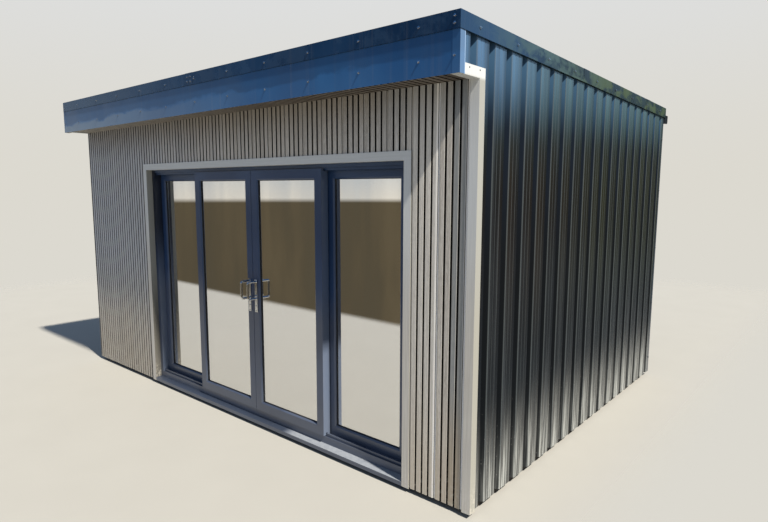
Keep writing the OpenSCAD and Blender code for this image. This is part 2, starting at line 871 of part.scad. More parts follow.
module leaf_frame(w, h, thick) {
    stile(h, thick);
    translate([w, 0, 0]) mirror([1, 0, 0]) stile(h, thick);
    translate([w, 0, 0]) rotate([0, -90, 0]) stile(w, thick);
    translate([w, 0, h]) mirror([0, 0, 1]) rotate([0, -90, 0]) stile(w, thick);
}

module leaf_glass(w, h) {
    in = stile_w - glass_seat + glass_fit;
    translate([in, glass_back + glass_fit / 2, in]) cube([w - 2 * in, glass_t, h - 2 * in]);
}

// Each sliding leaf stops half the meeting gap short of the middle
slide_w = leaf_w - meeting_gap / 2;

// A sliding leaf's frame, with grooves at the top and bottom for the guide fins
module sliding_frame() {
    cut_y = leaf_t / 2 - fin_t / 2 - fin_gap;
    cut_w = fin_t + 2 * fin_gap;
    cut_h = fin_reach + fin_gap + over;
    difference() {
        leaf_frame(slide_w, leaf_h, leaf_t);
        translate([-over, cut_y, -over]) cube([slide_w + 2 * over, cut_w, cut_h]);
        translate([-over, cut_y, leaf_h + over - cut_h]) cube([slide_w + 2 * over, cut_w, cut_h]);
    }
}

module place_left_leaf() {
    translate([door_x - leaf_w, y_leaf, leaf_z]) children();
}

module place_right_leaf() {
    translate([door_x + leaf_w, y_leaf, leaf_z]) mirror([1, 0, 0]) children();
}

module left_leaf_frame() {
    color(frame_grey) place_left_leaf() sliding_frame();
}

module right_leaf_frame() {
    color(frame_grey) place_right_leaf() sliding_frame();
}

module left_leaf_glass() {
    color(pane) place_left_leaf() leaf_glass(slide_w, leaf_h);
}

module right_leaf_glass() {
    color(pane) place_right_leaf() leaf_glass(slide_w, leaf_h);
}

module place_fixed() {
    translate([door_x, 0, 0]) both_sides()
        translate([frame_in_half - fixed_w, y_fixed, track_z]) children();
}

module fixed_frames() {
    color(frame_grey) place_fixed() leaf_frame(fixed_w, fixed_h, fixed_t);
}

module fixed_panes() {
    color(pane) place_fixed() leaf_glass(fixed_w, fixed_h);
}

// Handles

module handle_plate() {
    flat_w = plate_w / 2 - plate_corner;
    flat_h = plate_h / 2 - plate_corner;
    rotate([90, 0, 0]) linear_extrude(plate_t) {
        square([plate_w, 2 * flat_h], center = true);
        square([2 * flat_w, plate_h], center = true);
        for (x = [-flat_w, flat_w], z = [-flat_h, flat_h])
            translate([x, z]) circle(plate_corner, $fn = 24);
    }
}

// A D-shaped grip on its plate: a bar with two quarter bends and two arms, standing out along -Y
module handle(reach) {
    grip_z = plate_h / 2 - grip_drop - grip_h / 2;
    arm_z = (grip_h - grip_dia) / 2;
    bar_y = grip_dia / 2 - reach;
    handle_plate();
    translate([0, 0, grip_z]) {
        translate([0, bar_y, grip_bend - arm_z])
            cylinder(h = 2 * (arm_z - grip_bend), d = grip_dia, $fn = 32);
        for (s = [0, 1])
            mirror([0, 0, s]) translate([0, 0, arm_z]) {
                rotate([90, 0, 0]) cylinder(h = -bar_y - grip_bend, d = grip_dia, $fn = 32);
                rotate([90, 0, 0]) cylinder(h = plate_t + foot_t, d = grip_dia + 2 * foot_w, $fn = 32);
                translate([0, bar_y + grip_bend, -grip_bend]) rotate([0, 0, -90]) rotate([90, 0, 0])
                    rotate_extrude(angle = 90, $fn = 64)
                        translate([grip_bend, 0]) circle(d = grip_dia, $fn = 32);
            }
    }
    translate([0, 0, (grip_z - grip_h / 2 - plate_h / 2) / 2]) rotate([90, 0, 0])
        cylinder(h = plate_t + lock_out, d = lock_dia, $fn = 32);
}

module leaf_handles() {
    translate([slide_w - stile_w / 2, 0, plate_z - leaf_z]) {
        handle(grip_out);
        translate([0, leaf_t, 0]) mirror([0, 1, 0]) handle(grip_in);
    }
}

module left_leaf_handles() {
    color(bright) place_left_leaf() leaf_handles();
}

module right_leaf_handles() {
    color(bright) place_right_leaf() leaf_handles();
}

base_rims();
base_bearers();
floor_panel();
floor_boards();
front_wall_left();
front_wall_right();
front_wall_over_door();
side_walls();
rear_wall();
inner_linings();
cladding_battens();
front_cladding_left();
front_cladding_right();
front_cladding_over_door();
soffit_cladding();
corner_trims();
soffit_end_trims();
door_trim_sides();
door_trim_head();
side_wall_sheets();
rear_wall_sheets();
corner_flashings();
roof_panel();
roof_deck();
roof_membrane();
front_fascia();
front_top_flashing();
verge_flashings();
left_verge_soffit();
eaves_flashing();
gutter();
gutter_brackets();
downpipe();
door_sill();
door_track();
door_jambs();
door_head();
fixed_frames();
fixed_panes();
left_leaf_frame();
left_leaf_glass();
left_leaf_handles();
right_leaf_frame();
right_leaf_glass();
right_leaf_handles();
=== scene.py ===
import math

import bpy
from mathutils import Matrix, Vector


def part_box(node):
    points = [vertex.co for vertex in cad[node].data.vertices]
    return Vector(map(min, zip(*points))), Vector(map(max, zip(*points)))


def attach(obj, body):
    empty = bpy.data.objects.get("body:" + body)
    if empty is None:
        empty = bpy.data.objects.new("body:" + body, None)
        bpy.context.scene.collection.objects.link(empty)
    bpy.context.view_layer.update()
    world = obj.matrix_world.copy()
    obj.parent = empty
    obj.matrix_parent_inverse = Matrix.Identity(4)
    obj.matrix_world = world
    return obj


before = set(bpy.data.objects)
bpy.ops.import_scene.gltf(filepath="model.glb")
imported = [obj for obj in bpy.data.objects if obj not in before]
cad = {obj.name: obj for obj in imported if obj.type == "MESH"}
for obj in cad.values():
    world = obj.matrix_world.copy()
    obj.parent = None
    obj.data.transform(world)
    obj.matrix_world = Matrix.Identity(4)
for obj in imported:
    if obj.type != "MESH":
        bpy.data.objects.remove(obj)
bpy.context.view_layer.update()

# Sizes that the finishes and the small pieces follow, in metres
SLAT_PITCH = 0.050
BOARD_WIDTH = 0.200
BOARD_JOINT_X = 2.273
GROOVE_HALF = 0.0075
SHEET_PITCH = 0.200
SHEET_COVER = 5 * SHEET_PITCH
FIRST_TROUGH = -1.8865
TROUGH_DEPTH = 0.032
ROOF_SLOPE = 0.092 / 3.862
FLASHING_T = 0.001
FLASHING_HEM = 0.004
LAP_T = 0.0012
FRONT_LAP_X = (-0.115, -0.005)
PIPE_X = -2.1
LEAF_FACE = 0.080
FIXED_LEAF_WIDTH = 0.779
OUTER_GASKET_Y = (0.0125, 0.0203)
INNER_GASKET_Y = (0.0447, 0.0525)
GASKET_WIDTH = 0.0035
PLATE_T = 0.006
LOCK_OUT = 0.003
FLOOR_BOARD = (1.2, 0.19)
LINING_BOARD = 1.2

# Places that the finishes follow, from the frame
CLAD_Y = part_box("front_cladding_left")[0][1]
SOFFIT_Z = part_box("soffit_cladding")[0][2]
SIDE_SHEET_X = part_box("side_wall_sheets")[1][0]
REAR_SHEET_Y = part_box("rear_wall_sheets")[1][1]
FOLD_RIGHT_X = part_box("corner_flashings")[1][0]
SILL_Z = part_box("door_sill")[1][2]
FRAME_LEFT_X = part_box("fixed_frames")[0][0]
DOOR_TRIM_LOW, DOOR_TRIM_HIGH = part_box("door_trim_head")


class Pattern:
    """Nodes that work out a colour, a number or a direction in one node tree."""

    def __init__(self, tree):
        self.tree = tree

    def node(self, kind, inputs=None, **settings):
        made = self.tree.nodes.new(kind)
        for name, value in settings.items():
            setattr(made, name, value)
        for socket, value in (inputs or {}).items():
            if isinstance(value, bpy.types.NodeSocket):
                self.tree.links.new(value, made.inputs[socket])
            else:
                made.inputs[socket].default_value = value
        return made

    def calc(self, operation, a, b=0.0):
        return self.node("ShaderNodeMath", {0: a, 1: b}, operation=operation).outputs[0]

    def times(self, first, *others):
        """The product of all the values."""
        product = first
        for value in others:
            product = self.calc("MULTIPLY", product, value)
        return product

    def apart(self, a, b):
        """How far two values are from each other."""
        return self.calc("ABSOLUTE", self.calc("SUBTRACT", a, b))

    def span(self, value, low, high, start=0.0, end=1.0):
        """value from low to high becomes start to end, and stops there."""
        ends = {"Value": value, "From Min": low, "From Max": high, "To Min": start, "To Max": end}
        return self.node("ShaderNodeMapRange", ends, interpolation_type="SMOOTHSTEP").outputs["Result"]

    def mix(self, share, a, b, blend="MIX"):
        inputs = {0: share, 6: a, 7: b}
        return self.node("ShaderNodeMix", inputs, data_type="RGBA", blend_type=blend).outputs[2]

    def ramp(self, value, *stops):
        made = self.node("ShaderNodeValToRGB", {"Fac": value})
        steps = made.color_ramp.elements
        while len(steps) < len(stops):
            steps.new(0.5)
        for step, (position, colour) in zip(steps, stops):
            step.position = position
            step.color = colour
        return made.outputs["Color"]


class Finish(Pattern):
    """One finish: a Principled shader and the patterns that feed it, in metres on the building."""

    def __init__(self, name, roughness, **settings):
        self.material = bpy.data.materials.new(name)
        self.material.use_nodes = True
        super().__init__(self.material.node_tree)
        self.shader = self.tree.nodes["Principled BSDF"]
        self.shader.inputs["Roughness"].default_value = roughness
        for socket, value in settings.items():
            self.shader.inputs[socket.replace("_", " ")].default_value = value
        self.place = self.node("ShaderNodeTexCoord").outputs["Object"]
        parts = self.node("ShaderNodeSeparateXYZ", {"Vector": self.place}).outputs
        self.x, self.y, self.z = parts["X"], parts["Y"], parts["Z"]
        self.normal = None

    def noise(self, scale, stretch=(1, 1, 1), detail=3.0, roughness=0.55, distortion=0.0):
        at = self.node("ShaderNodeMapping", {"Vector": self.place, "Scale": stretch}).outputs["Vector"]
        inputs = {"Vector": at, "Scale": scale, "Detail": detail, "Roughness": roughness}
        inputs["Distortion"] = distortion
        return self.node("ShaderNodeTexNoise", inputs).outputs["Fac"]

    def cells(self, scale, stretch=(1, 1, 1), feature="F1", output="Distance"):
        at = self.node("ShaderNodeMapping", {"Vector": self.place, "Scale": stretch}).outputs["Vector"]
        inputs = {"Vector": at, "Scale": scale}
        return self.node("ShaderNodeTexVoronoi", inputs, feature=feature).outputs[output]

    def by_piece(self, along, pitch, start, seed=0.0):
        """A number from 0 to 1 for each board, slat or sheet in a row of them."""
        count = self.calc("FLOOR", self.calc("DIVIDE", self.calc("SUBTRACT", along, start), pitch))
        inputs = {"W": self.calc("ADD", count, seed)}
        return self.node("ShaderNodeTexWhiteNoise", inputs, noise_dimensions="1D").outputs["Value"]

    def off_line(self, along, pitch, start):
        """Distance to the nearest of a row of lines."""
        return self.calc("PINGPONG", self.calc("SUBTRACT", along, start), pitch / 2)

    def specks(self, scale, size, share):
        """Small round specks: how many to a metre, their size in spacings, and the share that shows."""
        drawn = self.node("ShaderNodeSeparateColor", {"Color": self.cells(scale, output="Color")})
        near = self.span(self.cells(scale), size, size * 0.6)
        return self.times(near, self.calc("LESS_THAN", drawn.outputs["Red"], share))

    def facing(self, axis):
        """1 where a face looks along +X, +Y or +Z, and 0 elsewhere."""
        normal = self.node("ShaderNodeNewGeometry").outputs["Normal"]
        return self.span(self.node("ShaderNodeSeparateXYZ", {"Vector": normal}).outputs[axis], 0.5, 0.9)

    def relief(self, height, depth):
        """A relief of that depth in metres, over what is there already."""
        inputs = {"Height": height, "Distance": depth}
        if self.normal is not None:
            inputs["Normal"] = self.normal
        self.normal = self.node("ShaderNodeBump", inputs).outputs["Normal"]

    def done(self, colour, roughness=None):
        """Links the patterns that there are to the shader, and gives the material."""
        links = {"Base Color": colour, "Roughness": roughness, "Normal": self.normal}
        for socket, value in links.items():
            if value is not None:
                self.tree.links.new(value, self.shader.inputs[socket])
        return self.material


def tone(red, green, blue):
    """A colour as it looks, from 0 to 255, in the renderer's own linear numbers."""
    def linear(value):
        value = value / 255
        return value / 12.92 if value <= 0.04045 else ((value + 0.055) / 1.055) ** 2.4
    return (linear(red), linear(green), linear(blue), 1.0)


def paint(finish, *names):
    for name in names:
        slots = cad[name].data.materials
        slots.clear()
        slots.append(finish)


# Cladding and trims

def board_colour(f, grain, streak, fleck):
    """Grained composite, a little different from board to board and from slat to slat."""
    dark, usual, light = tone(158, 153, 145), tone(194, 189, 181), tone(214, 209, 201)
    colour = f.ramp(grain, (0.28, dark), (0.5, usual), (0.74, light))
    colour = f.mix(f.span(streak, 0.35, 0.7, 0.0, 0.42), colour, tone(148, 140, 129))
    colour = f.mix(f.span(fleck, 0.5, 0.66, 0.0, 0.4), colour, tone(140, 132, 122))
    colour = f.mix(f.span(fleck, 0.5, 0.36, 0.0, 0.35), colour, tone(222, 218, 210))
    board = f.by_piece(f.x, BOARD_WIDTH, BOARD_JOINT_X)
    slat = f.by_piece(f.x, SLAT_PITCH, BOARD_JOINT_X, 40.0)
    colour = f.mix(f.span(board, 0.0, 1.0, 0.0, 0.25), colour, tone(200, 188, 170))
    return f.mix(f.span(slat, 0.0, 1.0, 0.0, 0.14), colour, tone(146, 140, 132))


def painted_trim_shadow(f, colour):
    """The two slats next to the corner trim get a painted shadow of the trim, bluish higher up and
    warmer low down.
    """
    groove_x = BOARD_JOINT_X + 2 * SLAT_PITCH
    trim_shadow_share = f.span(f.x, groove_x - 0.006, groove_x + 0.004, 0.0, 0.62)
    dull = f.mix(f.span(f.z, 0.3, 0.9), tone(122, 112, 98), tone(102, 112, 118))
    return f.mix(trim_shadow_share, colour, dull)


def painted_arris_light(f, colour):
    """The right arris of each slat carries a painted highlight and the left one a painted shade."""
    arris = (0.0008, 0.002)
    highlight_edge = f.off_line(f.x, SLAT_PITCH, BOARD_JOINT_X - GROOVE_HALF - 0.0014)
    colour = f.mix(f.span(highlight_edge, *arris, 0.55, 0.0), colour, tone(244, 240, 230))
    shaded_edge = f.off_line(f.x, SLAT_PITCH, BOARD_JOINT_X + GROOVE_HALF + 0.001)
    return f.mix(f.span(shaded_edge, *arris, 0.7, 0.0), colour, tone(52, 48, 44))


def painted_wall_light(f, colour):
    """Painted light on the wall: bluish painted skylight at the upper left, painted sunlight left of the
    last joint, painted shade under the roof, painted warm light low down, and a pale line beside the
    last joint.
    """
    joint = (BOARD_JOINT_X - 0.004, BOARD_JOINT_X + 0.004)
    # Painted bluish skylight on the upper left of the wall
    painted_skylight = f.times(f.span(f.z, 0.5, 1.4), f.span(f.x, -1.8, 0.6, 0.34, 0.0))
    colour = f.mix(painted_skylight, colour, tone(164, 178, 200))
    # Painted sunlight on the slats left of the last joint
    painted_sunlight = f.times(f.span(f.x, 2.0, 2.07), f.span(f.x, *joint, 0.3, 0.0))
    colour = f.mix(painted_sunlight, colour, tone(236, 230, 218))
    # Painted shade under the roof, browner at the left and greyer at the right
    under_roof = f.mix(f.span(f.x, 1.7, 1.95), tone(108, 95, 78), tone(122, 128, 134))
    colour = f.mix(f.span(f.z, 2.25, 2.62, 0.0, 0.45), colour, under_roof)
    # Painted warm light low on the wall, brighter at the right
    foot = f.mix(f.span(f.x, -1.8, 0.8), tone(132, 120, 100), tone(182, 164, 136))
    colour = f.mix(f.span(f.z, 0.1, 1.0, 0.4, 0.0), colour, foot)
    beside_joint = f.span(f.x, BOARD_JOINT_X - 0.02, BOARD_JOINT_X - 0.016)
    bright_line = f.times(beside_joint, f.span(f.x, *joint, 0.85, 0.0))
    return f.mix(bright_line, colour, tone(250, 246, 238))


def board_joints(f, colour, depth):
    """Where two boards join the groove is shallow, and the bare edge of the next board shows in it."""
    off_joint = f.off_line(f.x, BOARD_WIDTH, BOARD_JOINT_X)
    bare = f.times(f.span(off_joint, 0.0064, 0.0069, 1.0, 0.0), f.span(depth, 0.0055, 0.0068), 0.9)
    bare_tone = f.mix(f.span(f.x, 2.1, 2.2), tone(206, 200, 190), tone(252, 250, 246))
    return f.mix(bare, colour, bare_tone)


def splashed(f, colour, scale, full, top):
    """Pale grit splashed up as high as top, thickest where its noise is full or more."""
    splash = f.noise(scale, detail=5.0, roughness=0.7)
    dust = f.times(f.span(splash, 0.46, full), f.span(f.z, 0.03, top, 0.6, 0.0))
    return f.mix(dust, colour, tone(186, 180, 168))


def slat_finish(name, on_wall):
    """Grained composite boards. Grooves run along Z on the wall and along Y under the roof."""
    f = Finish(name, 0.62)

    def stretched(across, inwards, along):
        """A scale across the slats, into the board and along the slats, as one for X, Y and Z."""
        return (across, inwards, along) if on_wall else (across, along, inwards)

    grain = f.noise(1.0, stretched(170, 60, 3.2), 4.0, 0.6, 0.15)
    streak = f.noise(1.0, stretched(38, 20, 0.9), 3.0, 0.5, 0.3)
    fleck = f.noise(1.0, stretched(150, 90, 22), 3.0, 0.7)
    colour = painted_arris_light(f, painted_trim_shadow(f, board_colour(f, grain, streak, fleck)))
    if on_wall:
        depth = f.calc("SUBTRACT", f.y, CLAD_Y)
        colour = painted_wall_light(f, colour)
    else:
        depth = f.calc("SUBTRACT", f.z, SOFFIT_Z)
        # Under the roof the slats get a painted shade, deeper towards the right
        colour = f.mix(f.span(f.x, -2.6, 1.4, 0.25, 0.74), colour, tone(62, 45, 28))
    # The grooves are painted near black, a painted shade in the recesses, and their gloss is turned down
    groove = (0.0003, 0.0018)
    colour = f.mix(f.span(depth, *groove, 0.0, 0.97), colour, tone(15, 14, 14))
    f.tree.links.new(f.span(depth, *groove, 0.3, 0.0), f.shader.inputs["Specular IOR Level"])
    colour = board_joints(f, colour, depth)
    if on_wall:
        colour = splashed(f, colour, 34.0, 0.68, 0.36)
    f.relief(grain, 0.0014)
    f.relief(streak, 0.0008)
    return f.done(colour, f.span(grain, 0.3, 0.7, 0.74, 0.52))


def trim_finish(name, light, dark):
    """The plain composite of the angle trims, with a fine grain along each length, a painted bluish
    skylight higher up and painted shade on faces that look along +X.
    """
    f = Finish(name, 0.5, Specular_IOR_Level=0.4)
    upright = f.noise(1.0, (150, 150, 3.0), 4.0, 0.6)
    level = f.noise(1.0, (3.0, 150, 150), 4.0, 0.6)
    middle_x = (DOOR_TRIM_LOW[0] + DOOR_TRIM_HIGH[0]) / 2
    half_width = (DOOR_TRIM_HIGH[0] - DOOR_TRIM_LOW[0]) / 2
    in_width = f.span(f.apart(f.x, middle_x), half_width + 0.001, half_width + 0.004, 1.0, 0.0)
    over_door = f.times(f.span(f.z, DOOR_TRIM_LOW[2] - 0.0005, DOOR_TRIM_LOW[2] + 0.0005), in_width)
    grain = f.node("ShaderNodeMix", {0: over_door, 2: upright, 3: level}, data_type="FLOAT").outputs[0]
    cloud = f.noise(3.0, detail=2.0)
    colour = f.ramp(grain, (0.3, dark), (0.7, light))
    colour = f.mix(f.span(cloud, 0.4, 0.65, 0.0, 0.25), colour, dark)
    # Painted bluish skylight on the trims higher up
    colour = f.mix(f.span(f.z, 1.0, 2.0, 0.0, 0.42), colour, tone(208, 218, 226))
    side = f.facing("X")
    # Painted shade on the faces that look along +X, far less on those above the soffit
    painted_side_shade = f.times(side, f.span(f.z, SOFFIT_Z - 0.018, SOFFIT_Z + 0.007, 0.8, 0.1))
    colour = f.mix(painted_side_shade, colour, tone(134, 133, 123))
    # Painted shade on the +X faces of the left door reveal, low down
    painted_reveal_shade = f.times(f.span(f.x, -1.0, 0.0, 0.7, 0.0), f.span(f.z, 0.6, 1.3, 1.0, 0.0))
    colour = f.mix(f.times(side, painted_reveal_shade), colour, tone(60, 56, 50))
    colour = splashed(f, colour, 45.0, 0.62, 0.3)
    f.relief(grain, 0.00035)
    return f.done(colour, f.span(grain, 0.3, 0.7, 0.62, 0.45))


# Steel

def coated_steel(name, light, dark, roughness, wave, swell_depth, **settings):
    """Plastic-coated sheet steel: soft waves, rain streaks, a few specks.

    Gives the finish, its colour and its roughness, for the sheet or the flashing to work on.
    """
    f = Finish(name, roughness, **settings)
    cloud = f.noise(1.3, detail=3.0)
    streak = f.noise(1.0, (26, 26, 0.5), 4.0, 0.6)
    colour = f.mix(f.span(cloud, 0.35, 0.7), dark, light)
    colour = f.mix(f.span(streak, 0.52, 0.74, 0.0, 0.1), colour, tone(120, 128, 134))
    colour = f.mix(f.times(f.specks(6.0, 0.036, 0.1), 0.9), colour, tone(222, 224, 220))
    swell = f.noise(1.0, (wave, wave, wave * 0.5), 1.5, 0.4)
    f.relief(swell, swell_depth)
    f.relief(f.noise(420.0, detail=1.0), 0.00003)
    worn = f.span(streak, 0.45, 0.75, roughness, roughness + 0.12)
    return f, colour, worn


def painted_sheet_reflections(f, colour):
    """Painted reflections on a wall sheet: painted sky near the roof, bluer at the front, and a painted
    dark brown and olive reflection half-way up.
    """
    painted_reflection = f.noise(1.0, (9, 9, 0.35), 3.0, 0.5)
    # Painted sky reflection near the roof
    high = f.times(f.span(f.z, 2.25, 2.8), f.span(painted_reflection, 0.3, 0.7, 0.5, 1.0))
    sky_reflection_tone = f.mix(f.span(f.y, -1.9, -0.7), tone(70, 101, 133), tone(58, 82, 90))
    colour = f.mix(high, colour, sky_reflection_tone)
    # Painted dark reflection half-way up
    middle = f.times(f.span(f.z, 0.7, 1.6), f.span(f.z, 2.0, 2.7, 1.0, 0.0))
    middle = f.times(middle, f.span(painted_reflection, 0.3, 0.7, 0.15, 0.65))
    dark_reflection_tone = f.mix(f.span(f.y, -1.4, 1.0), tone(33, 27, 21), tone(38, 43, 27))
    return f.mix(middle, colour, dark_reflection_tone)


def sheet_folds(f, colour, run, first_trough, flat, place):
    """Painted highlights along the swages and the near fold of each flat, painted shade on the far side
    of each flat and in the troughs, a painted sky reflection at the tops of the troughs, and the dark
    laps of the sheets.
    """
    swage_x, swage_half, lap_x = 0.022, 0.0048, 0.041
    off_flat = f.off_line(run, SHEET_PITCH, first_trough + SHEET_PITCH / 2)
    # Painted highlights along the swages and by the near fold of each flat
    swage_highlight_line = f.apart(f.apart(off_flat, swage_x), swage_half)
    colour = f.mix(f.span(swage_highlight_line, 0.0, 0.0022, 0.28, 0.0), colour, tone(104, 112, 114))
    colour = f.mix(f.span(place, 0.18, 0.23, 0.36, 0.0), colour, tone(102, 110, 112))
    # Painted shade on the far side of each flat
    colour = f.mix(f.span(place, 0.6, 0.8, 0.0, 0.6), colour, tone(7, 10, 16))
    # Painted shade in the troughs, with a painted sky reflection near their tops
    trough = f.mix(f.span(f.z, 1.4, 2.4), tone(4, 6, 11), tone(8, 18, 32))
    trough = f.mix(f.span(f.z, 2.35, 2.8), trough, tone(54, 84, 110))
    colour = f.mix(f.span(flat, 0.0, 1.0, 0.9, 0.0), colour, trough)
    off_lap = f.off_line(run, SHEET_COVER, first_trough + lap_x)
    return f.mix(f.span(off_lap, 0.0006, 0.0016, 0.9, 0.0), colour, tone(5, 6, 7))


def sheet_dust(f, flat, place):
    """How much grey dust lies on a wall sheet: most low down, and on one side of each flat."""
    smear = f.noise(1.0, (70, 70, 1.6), 4.0, 0.65)
    low = f.span(f.z, 0.04, 0.8, 1.0, 0.0)
    low = f.times(low, low, f.span(flat, 0.0, 1.0, 0.2, 1.0), f.span(place, 0.45, 0.8, 1.0, 0.45))
    return f.times(f.span(smear, 0.42, 0.62, 0.12, 1.0), low)


def sheet_finish(name, along, first_trough, face):
    """Box-profile sheet with its troughs set out along X or Y, and its flats at face from the middle."""
    f, colour, worn = coated_steel(name, tone(16, 20, 24), tone(9, 12, 17), 0.2, 2.4, 0.006)
    run, across = {"X": (f.x, f.y), "Y": (f.y, f.x)}[along]
    # flat is 1 on the flats and 0 in the troughs, and place goes from 0 to 1 from trough to trough
    flat = f.span(f.calc("ABSOLUTE", across), face - 0.006, face - 0.0025)
    place = f.calc("FRACT", f.calc("DIVIDE", f.calc("SUBTRACT", run, first_trough), SHEET_PITCH))
    f.tree.links.new(f.span(flat, 0.0, 1.0, 0.12, 0.72), f.shader.inputs["Specular IOR Level"])
    colour = sheet_folds(f, painted_sheet_reflections(f, colour), run, first_trough, flat, place)
    dust = sheet_dust(f, flat, place)
    colour = f.mix(dust, colour, tone(166, 168, 163))
    grit = f.times(f.specks(60.0, 0.16, 0.3), f.span(f.z, 0.05, 0.9, 0.5, 0.0))
    colour = f.mix(grit, colour, tone(170, 170, 163))
    return f.done(colour, f.calc("ADD", worn, f.times(dust, 0.35)))


def fascia_finish(name):
    """The blue-grey fascia sheet and its waves, with painted reflections, and the folded corner pieces,
    with a painted reflection and highlights at the right and dark on the walls.
    """
    light, dark = tone(46, 94, 142), tone(35, 80, 128)
    f, colour, worn = coated_steel(name, light, dark, 0.16, 2.6, 0.016, Specular_IOR_Level=0.9)
    wave = f.noise(1.0, (2.2, 2.2, 7.0), 4.0, 0.55, 0.4)
    height = f.calc("ADD", f.z, f.times(f.calc("SUBTRACT", wave, 0.5), 0.2))
    # A darker painted reflection along the top of the fascia, with a wavy edge
    colour = f.mix(f.times(f.span(height, 2.7, 2.73), 0.55), colour, tone(24, 54, 90))
    # A paler painted reflection low down at the left
    left = f.span(f.x, -2.6, 1.2, 1.0, 0.0)
    pale = f.times(f.span(height, 2.68, 2.72, 0.75, 0.12), left)
    colour = f.mix(pale, colour, tone(120, 133, 144))
    # The side of the right fold gets a painted pale reflection and its rear edge a painted highlight
    on_front = f.span(f.y, -1.97, -1.96, 1.0, 0.0)
    fold = f.times(f.span(f.x, FOLD_RIGHT_X - 0.0012, FOLD_RIGHT_X - 0.0004), on_front)
    colour = f.mix(f.times(fold, 0.4), colour, tone(118, 132, 146))
    fold_edge_highlight = f.times(fold, f.span(f.y, -1.991, -1.986))
    colour = f.mix(f.times(fold_edge_highlight, 0.75), colour, tone(176, 198, 226))
    # A painted highlight along the edge of the front leg
    leg_x = FOLD_RIGHT_X - 0.049
    front_leg = f.times(f.span(f.x, leg_x - 0.0005, leg_x + 0.0005), f.span(f.z, 2.6, 2.61))
    colour = f.mix(f.times(front_leg, 0.25), colour, tone(70, 112, 156))
    on_walls = f.span(f.y, -1.9, -1.88)
    colour = f.mix(on_walls, colour, tone(40, 48, 56))
    return f.done(colour, worn)


def front_flashing_finish(name):
    """The flashing above the fascia, with paler patches and a paler left end, which are painted
    reflections.
    """
    light, dark = tone(18, 50, 82), tone(9, 36, 64)
    f, colour, worn = coated_steel(name, light, dark, 0.2, 2.6, 0.012, Specular_IOR_Level=0.6)
    mottle = f.noise(5.0, detail=5.0, roughness=0.6, distortion=0.3)
    # Paler patches and a paler left end: painted reflections
    colour = f.mix(f.span(mottle, 0.44, 0.6, 0.0, 0.5), colour, tone(30, 62, 92))
    left = f.span(f.x, -2.6, 0.6, 0.45, 0.0)
    colour = f.mix(left, colour, tone(86, 104, 122))
    return f.done(colour, f.calc("ADD", worn, f.span(mottle, 0.44, 0.6, 0.0, 0.12)))


def edge_flashing_finish(name):
    """The other roof edges, with painted reflections: blue at the front, dark and greener to the rear,
    and mottled.
    """
    light, dark = tone(23, 46, 72), tone(17, 38, 62)
    f, colour, worn = coated_steel(name, light, dark, 0.24, 2.6, 0.012, Specular_IOR_Level=0.25)
    mottle = f.noise(1.0, (4.5, 4.5, 8.0), 4.0, 0.6, 0.4)
    # Painted blue reflection at the front and painted dark reflection to the rear
    colour = f.mix(f.span(f.y, -1.7, -1.2, 0.35, 0.0), colour, tone(40, 68, 100))
    colour = f.mix(f.span(f.y, -1.6, -0.5), colour, tone(12, 19, 18))
    # Mottled painted reflection, teal at the front and olive to the rear
    painted_reflection = f.mix(f.span(f.y, -1.2, 0.4), tone(60, 80, 82), tone(60, 72, 44))
    share = f.times(f.span(mottle, 0.43, 0.6, 0.0, 0.85), f.span(f.y, -1.9, -1.0, 0.15, 1.0))
    share = f.times(share, f.span(f.x, -1.0, 2.5, 0.35, 1.0))
    return f.done(f.mix(share, colour, painted_reflection), f.calc("ADD", worn, f.times(share, 0.15)))


# Doors

def frame_finish(name):
    """Satin anthracite of the door frames, with a faint even grain and dust low down, painted
    reflections that make them paler low down, painted sunlight on faces that look along +X and painted
    shade on the upper left jamb and the left of the sill.
    """
    f = Finish(name, 0.36, Specular_IOR_Level=0.5, Coat_Weight=0.15, Coat_Roughness=0.2)
    cloud = f.noise(2.2, detail=2.0)
    grain = f.noise(1.0, (260, 260, 14), 3.0, 0.6)
    colour = f.mix(f.span(cloud, 0.35, 0.7), tone(31, 54, 88), tone(39, 63, 98))
    colour = f.mix(f.span(grain, 0.55, 0.75, 0.0, 0.1), colour, tone(84, 92, 104))
    # Painted reflection makes the frames paler low down and below about 1.3 m
    colour = f.mix(f.span(f.z, 0.06, 0.5, 0.3, 0.0), colour, tone(92, 97, 104))
    colour = f.mix(f.span(f.z, 0.95, 1.3, 0.3, 0.0), colour, tone(106, 105, 103))
    # Painted sunlight on the faces that look along +X
    colour = f.mix(f.times(f.facing("X"), 0.4), colour, tone(118, 130, 148))
    # Painted shade on the upper part of the left jamb
    shaded_left_jamb = f.span(f.x, FRAME_LEFT_X + 0.009, FRAME_LEFT_X + 0.019, 1.0, 0.0)
    colour = f.mix(f.times(shaded_left_jamb, f.span(f.z, 1.0, 1.7, 0.0, 0.85)), colour, tone(4, 9, 24))
    splash = f.noise(40.0, detail=6.0, roughness=0.75)
    dust = f.times(f.span(splash, 0.56, 0.74, 0.0, 0.4), f.span(f.z, 0.02, 0.2, 0.5, 0.0))
    # The sill's top has a painted shade at the left, and is dusty from the middle of the right-hand leaf
    # on
    sill_top = f.times(f.facing("Z"), f.span(f.z, SILL_Z + 0.007, SILL_Z + 0.017, 1.0, 0.0))
    dusty = f.span(f.x, 0.76, 0.92)
    shaded_sill_part = f.times(sill_top, f.calc("SUBTRACT", 0.7, dusty))
    colour = f.mix(shaded_sill_part, colour, tone(20, 30, 44))
    dust = f.calc("MAXIMUM", dust, f.times(sill_top, dusty, f.span(splash, 0.3, 0.6, 0.5, 0.75)))
    colour = f.mix(f.times(dust, 0.85), colour, tone(148, 152, 155))
    f.relief(grain, 0.00012)
    f.relief(cloud, 0.0015)
    return f.done(colour, f.calc("ADD", f.span(grain, 0.3, 0.7, 0.3, 0.42), f.times(dust, 0.3)))


